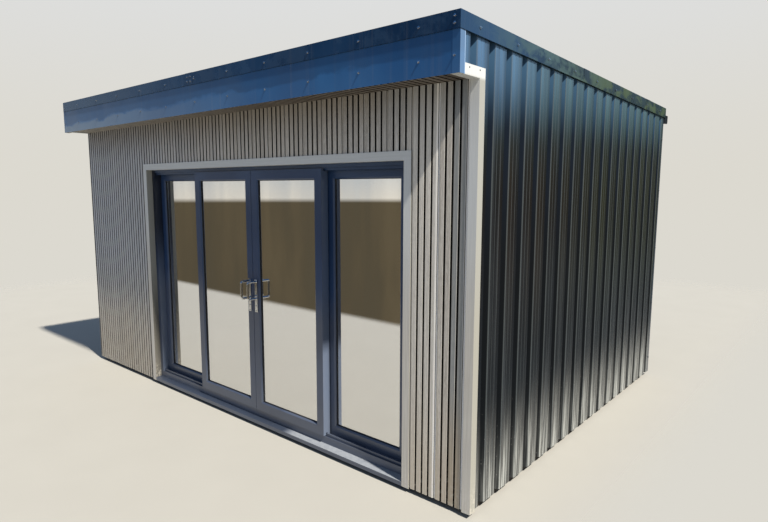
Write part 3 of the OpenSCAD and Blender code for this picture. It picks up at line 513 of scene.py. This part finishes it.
def glass_finish(name):
    """Coated double glazing: clear, slightly dark, and as bright as a mirror from outside."""
    f = Finish(name, 0.0, Transmission_Weight=1.0, IOR=1.5, Specular_IOR_Level=1.0, Coat_Weight=1.0,
        Coat_IOR=13.0, Coat_Roughness=0.0)
    smear = f.noise(5.0, (1, 1, 0.5), 5.0, 0.65)
    swell = f.noise(1.4, detail=1.0)
    colour = f.mix(f.span(smear, 0.5, 0.8), tone(128, 140, 138), tone(120, 131, 130))
    f.relief(swell, 0.0012)
    return f.done(colour, f.span(smear, 0.55, 0.85, 0.0, 0.03))


def handle_finish(name):
    """Bright plated metal with fine rubbing marks."""
    f = Finish(name, 0.16, Metallic=1.0)
    rub = f.noise(1.0, (900, 900, 60), 3.0, 0.6)
    cloud = f.noise(60.0, detail=2.0)
    colour = f.mix(f.span(cloud, 0.35, 0.7), tone(214, 214, 212), tone(190, 192, 194))
    f.relief(rub, 0.00002)
    return f.done(colour, f.span(rub, 0.35, 0.7, 0.1, 0.24))


def screw_finish(name):
    """Painted screw heads, with the paint rubbed off here and there."""
    f = Finish(name, 0.35, Metallic=0.4)
    rub = f.noise(260.0, detail=3.0)
    colour = f.mix(f.span(rub, 0.5, 0.66), tone(40, 48, 56), tone(120, 124, 128))
    f.relief(rub, 0.0001)
    return f.done(colour, f.span(rub, 0.4, 0.7, 0.45, 0.25))


def rubber_finish(name):
    """Black rubber with a fine dull grain."""
    f = Finish(name, 0.6)
    grain = f.noise(300.0, detail=2.0)
    colour = f.mix(f.span(grain, 0.3, 0.7), tone(24, 24, 25), tone(38, 38, 39))
    f.relief(grain, 0.0001)
    return f.done(colour, f.span(grain, 0.3, 0.7, 0.52, 0.7))


# Base, boards, linings and roof

def timber_finish(name, light, dark):
    """Treated softwood with its rings and knots."""
    f = Finish(name, 0.8)
    rings = f.noise(1.0, (3, 60, 60), 4.0, 0.6, 0.6)
    knot = f.cells(3.0, (1, 6, 6))
    colour = f.ramp(rings, (0.3, dark), (0.55, light), (0.75, dark))
    colour = f.mix(f.span(knot, 0.06, 0.12, 0.6, 0.0), colour, tone(40, 32, 24))
    f.relief(rings, 0.0008)
    return f.done(colour)


def board_finish(name):
    """Strand board, pressed from flat flakes of wood."""
    f = Finish(name, 0.7)
    flake = f.cells(28.0, (1.0, 1.0, 0.55), output="Color")
    edge = f.cells(28.0, (1.0, 1.0, 0.55), feature="DISTANCE_TO_EDGE")
    grain = f.noise(60.0, (1, 1, 0.2), 4.0)
    shade = f.node("ShaderNodeSeparateColor", {"Color": flake}).outputs["Red"]
    dark, usual, light = tone(170, 130, 78), tone(204, 164, 106), tone(224, 190, 134)
    colour = f.ramp(shade, (0.0, dark), (0.5, usual), (1.0, light))
    colour = f.mix(f.span(edge, 0.0, 0.06, 0.55, 0.0), colour, tone(120, 86, 48))
    colour = f.mix(f.span(grain, 0.4, 0.7, 0.0, 0.25), colour, tone(150, 112, 66))
    # The end of the board behind the fascia, past the left wall, is painted dark
    past_wall = f.span(f.x, -SIDE_SHEET_X - 0.01, -SIDE_SHEET_X - 0.006, 0.95, 0.0)
    colour = f.mix(past_wall, colour, tone(26, 32, 40))
    f.relief(edge, 0.0008)
    return f.done(colour)


def floor_finish(name):
    """Oak floor boards with a bevel at each joint, each row of them set off from the next."""
    f = Finish(name, 0.42)
    length, width = FLOOR_BOARD
    row = f.by_piece(f.y, width, 0.0)
    shifted = f.calc("ADD", f.x, f.times(row, length))
    plank = f.by_piece(shifted, length, 0.0)
    grain = f.noise(1.0, (2.4, 70, 70), 5.0, 0.6, 0.5)
    dark, usual, light = tone(150, 116, 80), tone(184, 150, 110), tone(204, 172, 132)
    colour = f.ramp(grain, (0.3, dark), (0.55, usual), (0.75, light))
    both = f.calc("FRACT", f.calc("ADD", row, f.times(plank, 3.7)))
    colour = f.mix(f.times(both, 0.4), colour, tone(128, 98, 68))
    side = f.span(f.off_line(f.y, width, 0.0), 0.0006, 0.0024, 1.0, 0.0)
    end = f.span(f.off_line(shifted, length, 0.0), 0.0006, 0.0024, 1.0, 0.0)
    joint = f.calc("MAXIMUM", side, end)
    colour = f.mix(f.times(joint, 0.7), colour, tone(70, 50, 34))
    f.relief(f.calc("SUBTRACT", 1.0, joint), 0.001)
    f.relief(grain, 0.0003)
    return f.done(colour, f.span(grain, 0.3, 0.7, 0.36, 0.5))


def lining_finish(name):
    """Painted lining boards, rolled, with their filled joints just showing."""
    f = Finish(name, 0.55)
    roll = f.noise(140.0, detail=3.0)
    cloud = f.noise(1.6, detail=2.0)
    colour = f.mix(f.span(cloud, 0.3, 0.7), tone(226, 224, 218), tone(236, 234, 229))
    joint = f.calc("MINIMUM", f.off_line(f.x, LINING_BOARD, 0.3), f.off_line(f.y, LINING_BOARD, 0.3))
    colour = f.mix(f.span(joint, 0.0, 0.012, 0.25, 0.0), colour, tone(212, 210, 204))
    f.relief(roll, 0.0002)
    f.relief(f.span(joint, 0.0, 0.04), 0.0004)
    return f.done(colour, f.span(roll, 0.35, 0.7, 0.46, 0.62))


def membrane_finish(name):
    """Black rubber sheet on the roof: wrinkles, chalky bloom and dust that has settled."""
    f = Finish(name, 0.75)
    wrinkle = f.noise(3.2, (1.0, 0.35, 1.0), 3.0, 0.5, 0.8)
    bloom = f.noise(2.0, detail=5.0)
    dust = f.noise(70.0, detail=4.0)
    colour = f.mix(f.span(bloom, 0.35, 0.7), tone(44, 45, 47), tone(66, 68, 70))
    colour = f.mix(f.span(dust, 0.55, 0.75, 0.0, 0.5), colour, tone(120, 118, 110))
    f.relief(wrinkle, 0.006)
    f.relief(dust, 0.0004)
    return f.done(colour, f.span(bloom, 0.3, 0.7, 0.62, 0.85))


def gutter_finish(name):
    """Black moulded plastic with a soft shine and rain marks."""
    f = Finish(name, 0.5, Specular_IOR_Level=0.15)
    cloud = f.noise(9.0, detail=3.0)
    mark = f.noise(1.0, (40, 40, 2.0), 4.0, 0.6)
    colour = f.mix(f.span(cloud, 0.35, 0.7), tone(13, 13, 15), tone(20, 20, 22))
    colour = f.mix(f.span(mark, 0.58, 0.76, 0.0, 0.2), colour, tone(80, 80, 78))
    f.relief(cloud, 0.0004)
    return f.done(colour, f.span(mark, 0.4, 0.75, 0.42, 0.6))


wall_slats = slat_finish("slatted_composite", on_wall=True)
roof_slats = slat_finish("slatted_composite_under_roof", on_wall=False)
trim = trim_finish("trim_composite", tone(204, 199, 190), tone(182, 177, 168))
side_steel = sheet_finish("side_sheet_steel", "Y", FIRST_TROUGH, SIDE_SHEET_X)
rear_steel = sheet_finish("rear_sheet_steel", "X", 0.0, REAR_SHEET_Y)
fascia_steel = fascia_finish("fascia_steel")
front_flashing_steel = front_flashing_finish("front_flashing_steel")
edge_flashing_steel = edge_flashing_finish("edge_flashing_steel")
door_satin = frame_finish("door_anthracite")
door_glass = glass_finish("door_glass")
plated = handle_finish("bright_handle_metal")
rubber = rubber_finish("door_rubber")
# The base timber's dark tone is partly its stain and partly a painted shade for the gap under the
# cladding
base_timber = timber_finish("base_timber", tone(52, 45, 34), tone(34, 30, 24))
batten_timber = timber_finish("batten_timber", tone(150, 132, 88), tone(118, 104, 66))
strand_board = board_finish("strand_board")
oak_floor = floor_finish("oak_floor")
wall_paint = lining_finish("lining_paint")
roof_rubber = membrane_finish("roof_rubber")
rain_plastic = gutter_finish("rainwater_plastic")
matched_screw = screw_finish("colour_matched_screws")
bright_screw = handle_finish("bright_screws")

paint(base_timber, "base_rims", "base_bearers")
paint(batten_timber, "cladding_battens")
paint(strand_board, "floor_panel", "front_wall_left", "front_wall_right", "front_wall_over_door")
paint(strand_board, "side_walls", "rear_wall", "roof_panel", "roof_deck")
paint(oak_floor, "floor_boards")
paint(wall_paint, "inner_linings")
paint(wall_slats, "front_cladding_left", "front_cladding_right", "front_cladding_over_door")
paint(roof_slats, "soffit_cladding")
paint(trim, "corner_trims", "soffit_end_trims", "door_trim_sides", "door_trim_head")
paint(side_steel, "side_wall_sheets")
paint(rear_steel, "rear_wall_sheets")
paint(fascia_steel, "corner_flashings", "front_fascia")
paint(front_flashing_steel, "front_top_flashing")
paint(edge_flashing_steel, "verge_flashings", "left_verge_soffit", "eaves_flashing")
paint(roof_rubber, "roof_membrane")
paint(rain_plastic, "gutter", "gutter_brackets", "downpipe")
paint(door_satin, "door_sill", "door_track", "door_jambs", "door_head", "fixed_frames")
paint(door_satin, "left_leaf_frame", "right_leaf_frame")
paint(door_glass, "fixed_panes", "left_leaf_glass", "right_leaf_glass")
paint(plated, "left_leaf_handles", "right_leaf_handles")


# Modelling

def alone(piece):
    """Selects one piece and nothing else."""
    bpy.ops.object.select_all(action="DESELECT")
    piece.select_set(True)
    bpy.context.view_layer.objects.active = piece
    return piece


def settle():
    """Puts the place, turn and size of what is selected in its mesh."""
    bpy.ops.object.transform_apply(location=True, rotation=True, scale=True)


def block(name, low, high):
    """A cube at its size and place, to be shaped further."""
    middle = [(a + b) / 2 for a, b in zip(low, high)]
    size = [b - a for a, b in zip(low, high)]
    bpy.ops.mesh.primitive_cube_add(size=1, location=middle)
    piece = alone(bpy.context.object)
    piece.name = name
    piece.scale = size
    settle()
    return piece


def rod(sides, radius, length, middle, turn=(0, 0, 0)):
    """A cylinder at its size and place, to be shaped further. It stands along Z unless it is turned."""
    bpy.ops.mesh.primitive_cylinder_add(vertices=sides, radius=radius, depth=length,
        location=middle, rotation=turn)
    piece = alone(bpy.context.object)
    settle()
    return piece


def pick(piece, test):
    """Goes into edit mode with only those faces selected whose normal passes the test."""
    bpy.ops.object.mode_set(mode="EDIT")
    bpy.ops.mesh.select_mode(type="FACE")
    bpy.ops.mesh.select_all(action="DESELECT")
    bpy.ops.object.mode_set(mode="OBJECT")
    for face in piece.data.polygons:
        face.select = test(face.normal)
    bpy.ops.object.mode_set(mode="EDIT")


def looks_up(normal):
    return normal.z > 0.9


def looks_back(normal):
    return normal.y > 0.9


def looks_sideways(normal):
    return abs(normal.x) > 0.9


def pick_edges(piece, test):
    """Goes into edit mode with only those edges selected whose two ends pass the test."""
    bpy.ops.object.mode_set(mode="EDIT")
    bpy.ops.mesh.select_mode(type="EDGE")
    bpy.ops.mesh.select_all(action="DESELECT")
    bpy.ops.object.mode_set(mode="OBJECT")
    points = piece.data.vertices
    for edge in piece.data.edges:
        edge.select = test(points[edge.vertices[0]].co, points[edge.vertices[1]].co)
    bpy.ops.object.mode_set(mode="EDIT")


def put_down():
    """Leaves edit mode."""
    bpy.ops.object.mode_set(mode="OBJECT")


def lower_rear(piece, drop):
    """Lowers the rear face of a piece, so that it follows the fall of the roof."""
    pick(piece, looks_back)
    bpy.ops.transform.translate(value=(0, 0, -drop))
    put_down()


def ease_edges(piece, width, segments=1):
    alone(piece)
    bevel = piece.modifiers.new("eased_edges", "BEVEL")
    bevel.width = width
    bevel.segments = segments
    bpy.ops.object.modifier_apply(modifier=bevel.name)
    return piece


def joined(pieces, name):
    bpy.ops.object.select_all(action="DESELECT")
    for piece in pieces:
        piece.select_set(True)
    bpy.context.view_layer.objects.active = pieces[0]
    bpy.ops.object.join()
    pieces[0].name = name
    return alone(pieces[0])


def set_out(model, places, name):
    """Copies of one shape, each at its place and facing its way, joined in one piece."""
    made = []
    for place, facing in places:
        piece = model.copy()
        piece.data = model.data.copy()
        piece.location = place
        piece.rotation_euler = Vector(facing).to_track_quat("Z", "Y").to_euler()
        bpy.context.scene.collection.objects.link(piece)
        made.append(piece)
    piece = joined(made, name)
    settle()
    return piece


def fit(piece, finish, body="building"):
    """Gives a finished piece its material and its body."""
    piece.data.materials.clear()
    piece.data.materials.append(finish)
    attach(piece, body)
    return piece


# Screws

def sheet_screw():
    """What shows of a sheet screw: a sealing washer and a six-sided head, standing along +Z."""
    washer = rod(12, 0.008, 0.0022, (0, 0, 0.0011))
    pick(washer, looks_up)
    bpy.ops.mesh.inset(thickness=0.0013, depth=0.0007)
    put_down()
    head = rod(6, 0.0047, 0.0045, (0, 0, 0.005))
    pick(head, looks_up)
    bpy.ops.mesh.inset(thickness=0.0009, depth=0.0006)
    put_down()
    return joined([washer, head], "sheet_screw")


def trim_screw():
    """A flat countersunk head with its round recess, standing along +Z."""
    head = rod(16, 0.0042, 0.0012, (0, 0, 0.0006))
    pick(head, looks_up)
    bpy.ops.mesh.inset(thickness=0.0006, depth=0.0003)
    bpy.ops.mesh.inset(thickness=0.0017)
    bpy.ops.mesh.extrude_region_move(TRANSFORM_OT_translate={"value": (0, 0, -0.0012)})
    put_down()
    return head


def roof_height(y):
    """Height of the roof's top face."""
    low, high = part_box("front_top_flashing")
    return high[2] - ROOF_SLOPE * (y - (low[1] + FLASHING_HEM))


def wall_screws():
    """Rows of screws in the troughs of the side and rear sheets."""
    model = sheet_screw()
    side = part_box("side_wall_sheets")[1][0] - TROUGH_DEPTH
    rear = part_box("rear_wall_sheets")[1][1] - TROUGH_DEPTH
    heights = (0.14, 0.76, 1.38, 2.0, 2.6)
    side_troughs = [FIRST_TROUGH + SHEET_PITCH * n for n in range(1, 19)]
    rear_troughs = [SHEET_PITCH * n for n in range(-12, 13)]
    for name, way in (("right", 1), ("left", -1)):
        places = [((way * side, y, z), (way, 0, 0)) for y in side_troughs for z in heights]
        fit(set_out(model, places, name + "_wall_screws"), matched_screw)
    places = [((x, rear, z), (0, 1, 0)) for x in rear_troughs for z in heights]
    fit(set_out(model, places, "rear_wall_screws"), matched_screw)
    bpy.data.objects.remove(model)


def fascia_screws():
    """Screws of the fascia, of the flashing above it and of the folded corner pieces."""
    model = sheet_screw()
    forwards = (0, -1, 0)
    fascia_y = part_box("front_fascia")[0][1]
    flashing_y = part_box("front_top_flashing")[0][1] + FLASHING_HEM
    fascia_z, flashing_z, fold_z = 2.701, 2.883, 2.706
    row = [2.275 - 0.452 * n for n in range(11)]
    right_end, left_end = 2.512, -2.587
    places = [((x, fascia_y, fascia_z), forwards) for x in row]
    places += [((x, flashing_y, flashing_z), forwards) for x in row]
    for x in (right_end, FRONT_LAP_X[0] + 0.03, FRONT_LAP_X[1] - 0.03, left_end):
        places += [((x, flashing_y, z), forwards) for z in (2.905, 2.868)]
    places += [((x, fascia_y - FLASHING_T, fold_z), forwards) for x in (right_end, left_end)]
    fit(set_out(model, places, "front_fascia_screws"), bright_screw)
    bpy.data.objects.remove(model)


def edge_screws():
    """Screws of the roof edges at both sides and over the gutter."""
    model = sheet_screw()
    low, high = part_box("front_fascia")
    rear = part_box("eaves_flashing")[1][1]
    side_row = [-1.837 + 0.4355 * n for n in range(9)]
    rear_row = [0.45 * n for n in range(-5, 6)]
    side_drop, rear_drop = 0.052, 0.03
    places = []
    for y in side_row:
        z = roof_height(y) - side_drop
        places += [((high[0] + FLASHING_T, y, z), (1, 0, 0)), ((low[0] - FLASHING_T, y, z), (-1, 0, 0))]
    places += [((x, rear, roof_height(rear) - rear_drop), (0, 1, 0)) for x in rear_row]
    fit(set_out(model, places, "roof_edge_screws"), bright_screw)
    bpy.data.objects.remove(model)


def corner_screws():
    """Screws up the folded flashings at the rear corners and at the left front corner."""
    model = sheet_screw()
    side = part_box("side_wall_sheets")[1][0] + FLASHING_T
    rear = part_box("rear_wall_sheets")[1][1] + FLASHING_T
    # How far the screws stand from the corner, on each leg of the flashings
    side_leg, rear_leg, front_leg = 0.026, 0.025, 0.028
    places = []
    for z in (0.2, 0.8, 1.4, 2.0, 2.52):
        for way in (1, -1):
            places.append(((way * side, rear - side_leg, z), (way, 0, 0)))
            places.append(((way * (side - rear_leg), rear, z), (0, 1, 0)))
        places.append(((-side, CLAD_Y + front_leg, z), (-1, 0, 0)))
    fit(set_out(model, places, "corner_flashing_screws"), matched_screw)
    bpy.data.objects.remove(model)


def trim_screws():
    """Two screws through the outer face of each soffit end trim."""
    model = trim_screw()
    low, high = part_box("soffit_end_trims")
    z = 2.655
    places = []
    for y in (-1.934, -1.826):
        places += [((high[0], y, z), (1, 0, 0)), ((low[0], y, z), (-1, 0, 0))]
    fit(set_out(model, places, "soffit_trim_screws"), matched_screw)
    bpy.data.objects.remove(model)


# Flashings and roof

def front_flashing_lap():
    """Where one length of the front flashing laps over the next, on its face and on its top."""
    low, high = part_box("front_top_flashing")
    face = low[1] + FLASHING_HEM
    ridge = roof_height(face)
    x0, x1 = FRONT_LAP_X
    front = block("front_lap", (x0, face - LAP_T, low[2] + 0.002), (x1, face, ridge + 0.0008))
    top = block("top_lap", (x0, face - LAP_T, ridge), (x1, high[1], ridge + 0.001))
    lower_rear(top, ROOF_SLOPE * (high[1] - face))
    lap = ease_edges(joined([front, top], "front_flashing_lap"), 0.0004)
    fit(lap, front_flashing_steel)


def roof_edge_laps():
    """Where one length of flashing laps over the next, on both sloping roof edges."""
    low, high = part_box("verge_flashings")
    left, right = low[0] + FLASHING_HEM, high[0] - FLASHING_HEM
    strip_width, strip_height = 0.1, 0.094
    strips = []
    for x0, x1 in ((left - LAP_T, left), (right, right + LAP_T)):
        for y in (-0.36, 1.2):
            z = roof_height(y)
            strip = block("edge_lap", (x0, y, z - strip_height), (x1, y + strip_width, z + 0.001))
            lower_rear(strip, strip_width * ROOF_SLOPE)
            strips.append(strip)
    fit(ease_edges(joined(strips, "roof_edge_laps"), 0.0004), edge_flashing_steel)


def roof_seams():
    """Taped seams of the roof sheet, from front to rear."""
    low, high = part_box("roof_membrane")
    y0, y1 = low[1] + 0.08, high[1] - 0.08
    half_width = 0.04
    parts = []
    for x in (-0.86, 0.86):
        z = roof_height(y0) - 0.001
        seam = block("seam", (x - half_width, y0, z), (x + half_width, y1, z + 0.0022))
        lower_rear(seam, ROOF_SLOPE * (y1 - y0))
        parts.append(seam)
    fit(ease_edges(joined(parts, "roof_seams"), 0.0008), roof_rubber)


# Rainwater pieces

def gutter_end_caps():
    """Caps with bevelled lower edges and a rim round their sunk faces."""
    low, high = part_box("gutter")
    proud, grip = 0.0008, 0.012
    half_way = (low[2] + high[2]) / 2
    caps = []
    for x0, x1 in ((low[0] - proud, low[0] + grip), (high[0] - grip, high[0] + proud)):
        y0, y1, z0, z1 = low[1] - proud, high[1] + 0.002, low[2] - 0.002, high[2] + 0.0005
        cap = block("end_cap", (x0, y0, z0), (x1, y1, z1))
        pick_edges(cap, lambda a, b: abs(a.x - b.x) > 0.01 and max(a.z, b.z) < half_way)
        bpy.ops.mesh.bevel(offset=0.011, segments=1)
        put_down()
        pick(cap, looks_sideways)
        bpy.ops.mesh.inset(thickness=0.006)
        bpy.ops.mesh.inset(thickness=0.0012, depth=-0.0008)
        put_down()
        caps.append(cap)
    fit(joined(caps, "gutter_end_caps"), rain_plastic)


def gutter_lip():
    """The rolled lip along the front of the gutter, between its end caps."""
    low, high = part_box("gutter")
    middle = ((low[0] + high[0]) / 2, high[1] - 0.001, high[2] - 0.002)
    lip = rod(12, 0.0045, high[0] - low[0] - 0.026, middle, (0, math.pi / 2, 0))
    pick(lip, looks_sideways)
    bpy.ops.mesh.inset(thickness=0.001, depth=0.0008)
    put_down()
    fit(lip, rain_plastic).name = "gutter_front_lip"


def outlet_collar():
    """The collar that joins the downpipe to the underside of the gutter."""
    low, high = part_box("gutter")
    height = 0.014
    collar = rod(32, 0.0455, height, (PIPE_X, (low[1] + high[1]) / 2, low[2] - height / 2))
    ease_edges(collar, 0.0025, 2)
    fit(collar, rain_plastic).name = "gutter_outlet_collar"


# Door pieces

def gasket(name, x0, x1, z0, z1, y0, y1):
    """A rubber strip round a pane, from a flat frame given its thickness."""
    place = ((x0 + x1) / 2, y0, (z0 + z1) / 2)
    bpy.ops.mesh.primitive_plane_add(size=1, location=place, rotation=(math.pi / 2, 0, 0))
    piece = alone(bpy.context.object)
    piece.name = name
    piece.scale = (x1 - x0, z1 - z0, 1)
    settle()
    pick(piece, lambda normal: True)
    bpy.ops.mesh.inset(thickness=GASKET_WIDTH)
    bpy.ops.mesh.delete(type="FACE")
    bpy.ops.mesh.select_all(action="SELECT")
    bpy.ops.mesh.extrude_region_move(TRANSFORM_OT_translate={"value": (0, y1 - y0, 0)})
    bpy.ops.mesh.select_all(action="SELECT")
    bpy.ops.mesh.normals_make_consistent(inside=False)
    put_down()
    return ease_edges(piece, 0.0008)


def both_gaskets(left, right, low, high):
    """Gaskets on both faces of the pane of a leaf from left to right, in the box from low to high."""
    x0, x1 = left + LEAF_FACE, right - LEAF_FACE
    z0, z1 = low[2] + LEAF_FACE, high[2] - LEAF_FACE
    made = []
    for name, (y0, y1) in (("outer", OUTER_GASKET_Y), ("inner", INNER_GASKET_Y)):
        made.append(gasket(name, x0, x1, z0, z1, low[1] + y0, low[1] + y1))
    return made


def pane_gaskets():
    """Black gaskets on both faces of the four panes."""
    for body in ("left_leaf", "right_leaf"):
        low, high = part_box(body + "_frame")
        parts = both_gaskets(low[0], high[0], low, high)
        fit(joined(parts, body + "_gaskets"), rubber, body)
    low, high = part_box("fixed_frames")
    parts = both_gaskets(low[0], low[0] + FIXED_LEAF_WIDTH, low, high)
    parts += both_gaskets(high[0] - FIXED_LEAF_WIDTH, high[0], low, high)
    fit(joined(parts, "fixed_pane_gaskets"), rubber)


def handle_fittings():
    """The screw at the foot of each handle plate and the key slot of each lock, outside and inside."""
    screw = trim_screw()
    slot_half, slot_depth = 0.0009, 0.0006
    for body in ("left_leaf", "right_leaf"):
        low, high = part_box(body + "_handles")
        leaf_low, leaf_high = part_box(body + "_frame")
        x = (low[0] + high[0]) / 2
        screw_z, slot_z0, slot_z1 = low[2] + 0.011, low[2] + 0.049, low[2] + 0.057
        parts = []
        for face, way in ((leaf_low[1] - PLATE_T, -1), (leaf_high[1] + PLATE_T, 1)):
            parts.append(set_out(screw, [((x, face, screw_z), (0, way, 0))], "plate_screw"))
            lock_face = face + way * LOCK_OUT
            y0, y1 = sorted((lock_face, lock_face + way * slot_depth))
            slot = block("key_slot", (x - slot_half, y0, slot_z0), (x + slot_half, y1, slot_z1))
            parts.append(ease_edges(slot, 0.0002))
        fit(joined(parts, body + "_lock_fittings"), rubber, body)
    bpy.data.objects.remove(screw)


wall_screws()
fascia_screws()
edge_screws()
corner_screws()
trim_screws()
front_flashing_lap()
roof_edge_laps()
roof_seams()
gutter_end_caps()
gutter_lip()
outlet_collar()
pane_gaskets()
handle_fittings()


# Studio

BACKDROP = tone(220, 217, 208)
FLAG = tone(106, 98, 80)


def studio_floor():
    """A pale floor that fades into the backdrop all round, soonest at the right."""
    bpy.ops.mesh.primitive_plane_add(size=1, location=(-1.2, 2.2, 0))
    floor = alone(bpy.context.object)
    floor.name = "studio_floor"
    floor.scale = (16.8, 15.0, 1)
    settle()
    f = Finish("studio_floor", 0.9)
    speck = f.noise(2.0, detail=2.0)
    right = f.span(f.x, 2.65, 3.5, 1.0, 0.0)
    front = f.span(f.y, -5.3, -5.0)
    left = f.span(f.x, -9.5, -8.0)
    back = f.span(f.y, 8.0, 9.6, 1.0, 0.0)
    f.tree.links.new(f.times(right, front, left, back), f.shader.inputs["Alpha"])
    floor.data.materials.append(f.done(f.mix(speck, tone(146, 144, 137), tone(150, 148, 141))))


def studio_world():
    """A plain pale backdrop, soft light from all round, and flags that only gloss and glass mirror."""
    world = bpy.data.worlds.new("studio")
    world.use_nodes = True
    w = Pattern(world.node_tree)
    way = w.node("ShaderNodeTexCoord").outputs["Generated"]
    up = w.node("ShaderNodeSeparateXYZ", {"Vector": way}).outputs["Z"]
    # A ramp goes from 0 to 1, so its middle is the height of the horizon
    height = w.calc("ADD", up, 0.5)

    def towards(direction):
        """How nearly a ray goes that way, up to 1."""
        inputs = {0: way, 1: direction}
        return w.node("ShaderNodeVectorMath", inputs, operation="DOT_PRODUCT").outputs["Value"]

    backdrop = w.mix(w.span(up, 0.0, 0.5), BACKDROP, tone(222, 225, 229))
    soft = w.mix(w.span(up, -0.3, 0.3), tone(188, 182, 168), tone(138, 158, 187))
    front = w.ramp(height, (0.0, FLAG), (0.479, FLAG), (0.482, tone(250, 250, 244)),
        (0.53, tone(226, 234, 240)), (0.61, tone(150, 174, 204)), (0.69, tone(112, 144, 184)),
        (0.725, tone(52, 106, 172)), (1.0, tone(58, 112, 180)))
    folds = w.node("ShaderNodeMapping", {"Vector": way, "Scale": (1.0, 1.0, 0.06)}).outputs["Vector"]
    folds = w.node("ShaderNodeTexNoise", {"Vector": folds, "Scale": 24.0, "Detail": 4.0}).outputs["Fac"]
    front = w.mix(w.span(folds, 0.35, 0.65, 0.0, 0.4), front, tone(255, 236, 210), "MULTIPLY")
    front = w.mix(w.span(folds, 0.4, 0.7, 0.4, 0.0), front, tone(176, 168, 160), "MULTIPLY")
    rear = w.mix(w.span(up, -0.1, 0.4), tone(206, 206, 204), tone(178, 194, 214))
    right = w.ramp(height, (0.0, tone(104, 110, 110)), (0.38, tone(92, 96, 96)),
        (0.45, tone(60, 54, 45)), (0.53, tone(68, 66, 50)), (0.59, tone(90, 104, 88)),
        (0.635, tone(118, 150, 160)), (0.68, tone(172, 210, 244)), (1.0, tone(168, 198, 232)))
    mirrored = w.mix(w.span(towards((-0.64, 0.77, 0.0)), 0.6, 0.8), front, rear)
    mirrored = w.mix(w.span(towards((0.42, 0.91, 0.0)), 0.5, 0.8), mirrored, right)
    rays = w.node("ShaderNodeLightPath").outputs
    seen = w.mix(rays["Is Diffuse Ray"], mirrored, soft)
    seen = w.mix(rays["Is Camera Ray"], seen, backdrop)
    w.tree.links.new(seen, w.tree.nodes["Background"].inputs["Color"])
    bpy.context.scene.world = world


def sun_from_right():
    """Warm sunlight from above and the right, aimed so that its shadow line falls as in the photo."""
    data = bpy.data.lights.new("sun_from_right", "SUN")
    data.energy = 8.6
    data.angle = math.radians(2)
    data.color = (1.0, 0.94, 0.85)
    lamp = bpy.data.objects.new("sun_from_right", data)
    lamp.rotation_euler = Vector((-1.0, 0.145, -1.345)).to_track_quat("-Z", "Y").to_euler()
    bpy.context.scene.collection.objects.link(lamp)


def photo_camera():
    """The camera that was fitted to the photo's straight edges."""
    data = bpy.data.cameras.new("photo_camera")
    data.sensor_width = 36
    data.lens = 26.66
    data.shift_y = 0.0013
    data.dof.use_dof = False
    data.clip_end = 300
    camera = bpy.data.objects.new("photo_camera", data)
    camera.location = (4.2471, -4.6379, 2.0029)
    camera.rotation_euler = (math.radians(82.6985), math.radians(-0.1698), math.radians(40.4331))
    bpy.context.scene.collection.objects.link(camera)
    bpy.context.scene.camera = camera


studio_floor()
studio_world()
sun_from_right()
photo_camera()
bpy.context.scene.view_settings.view_transform = "Standard"
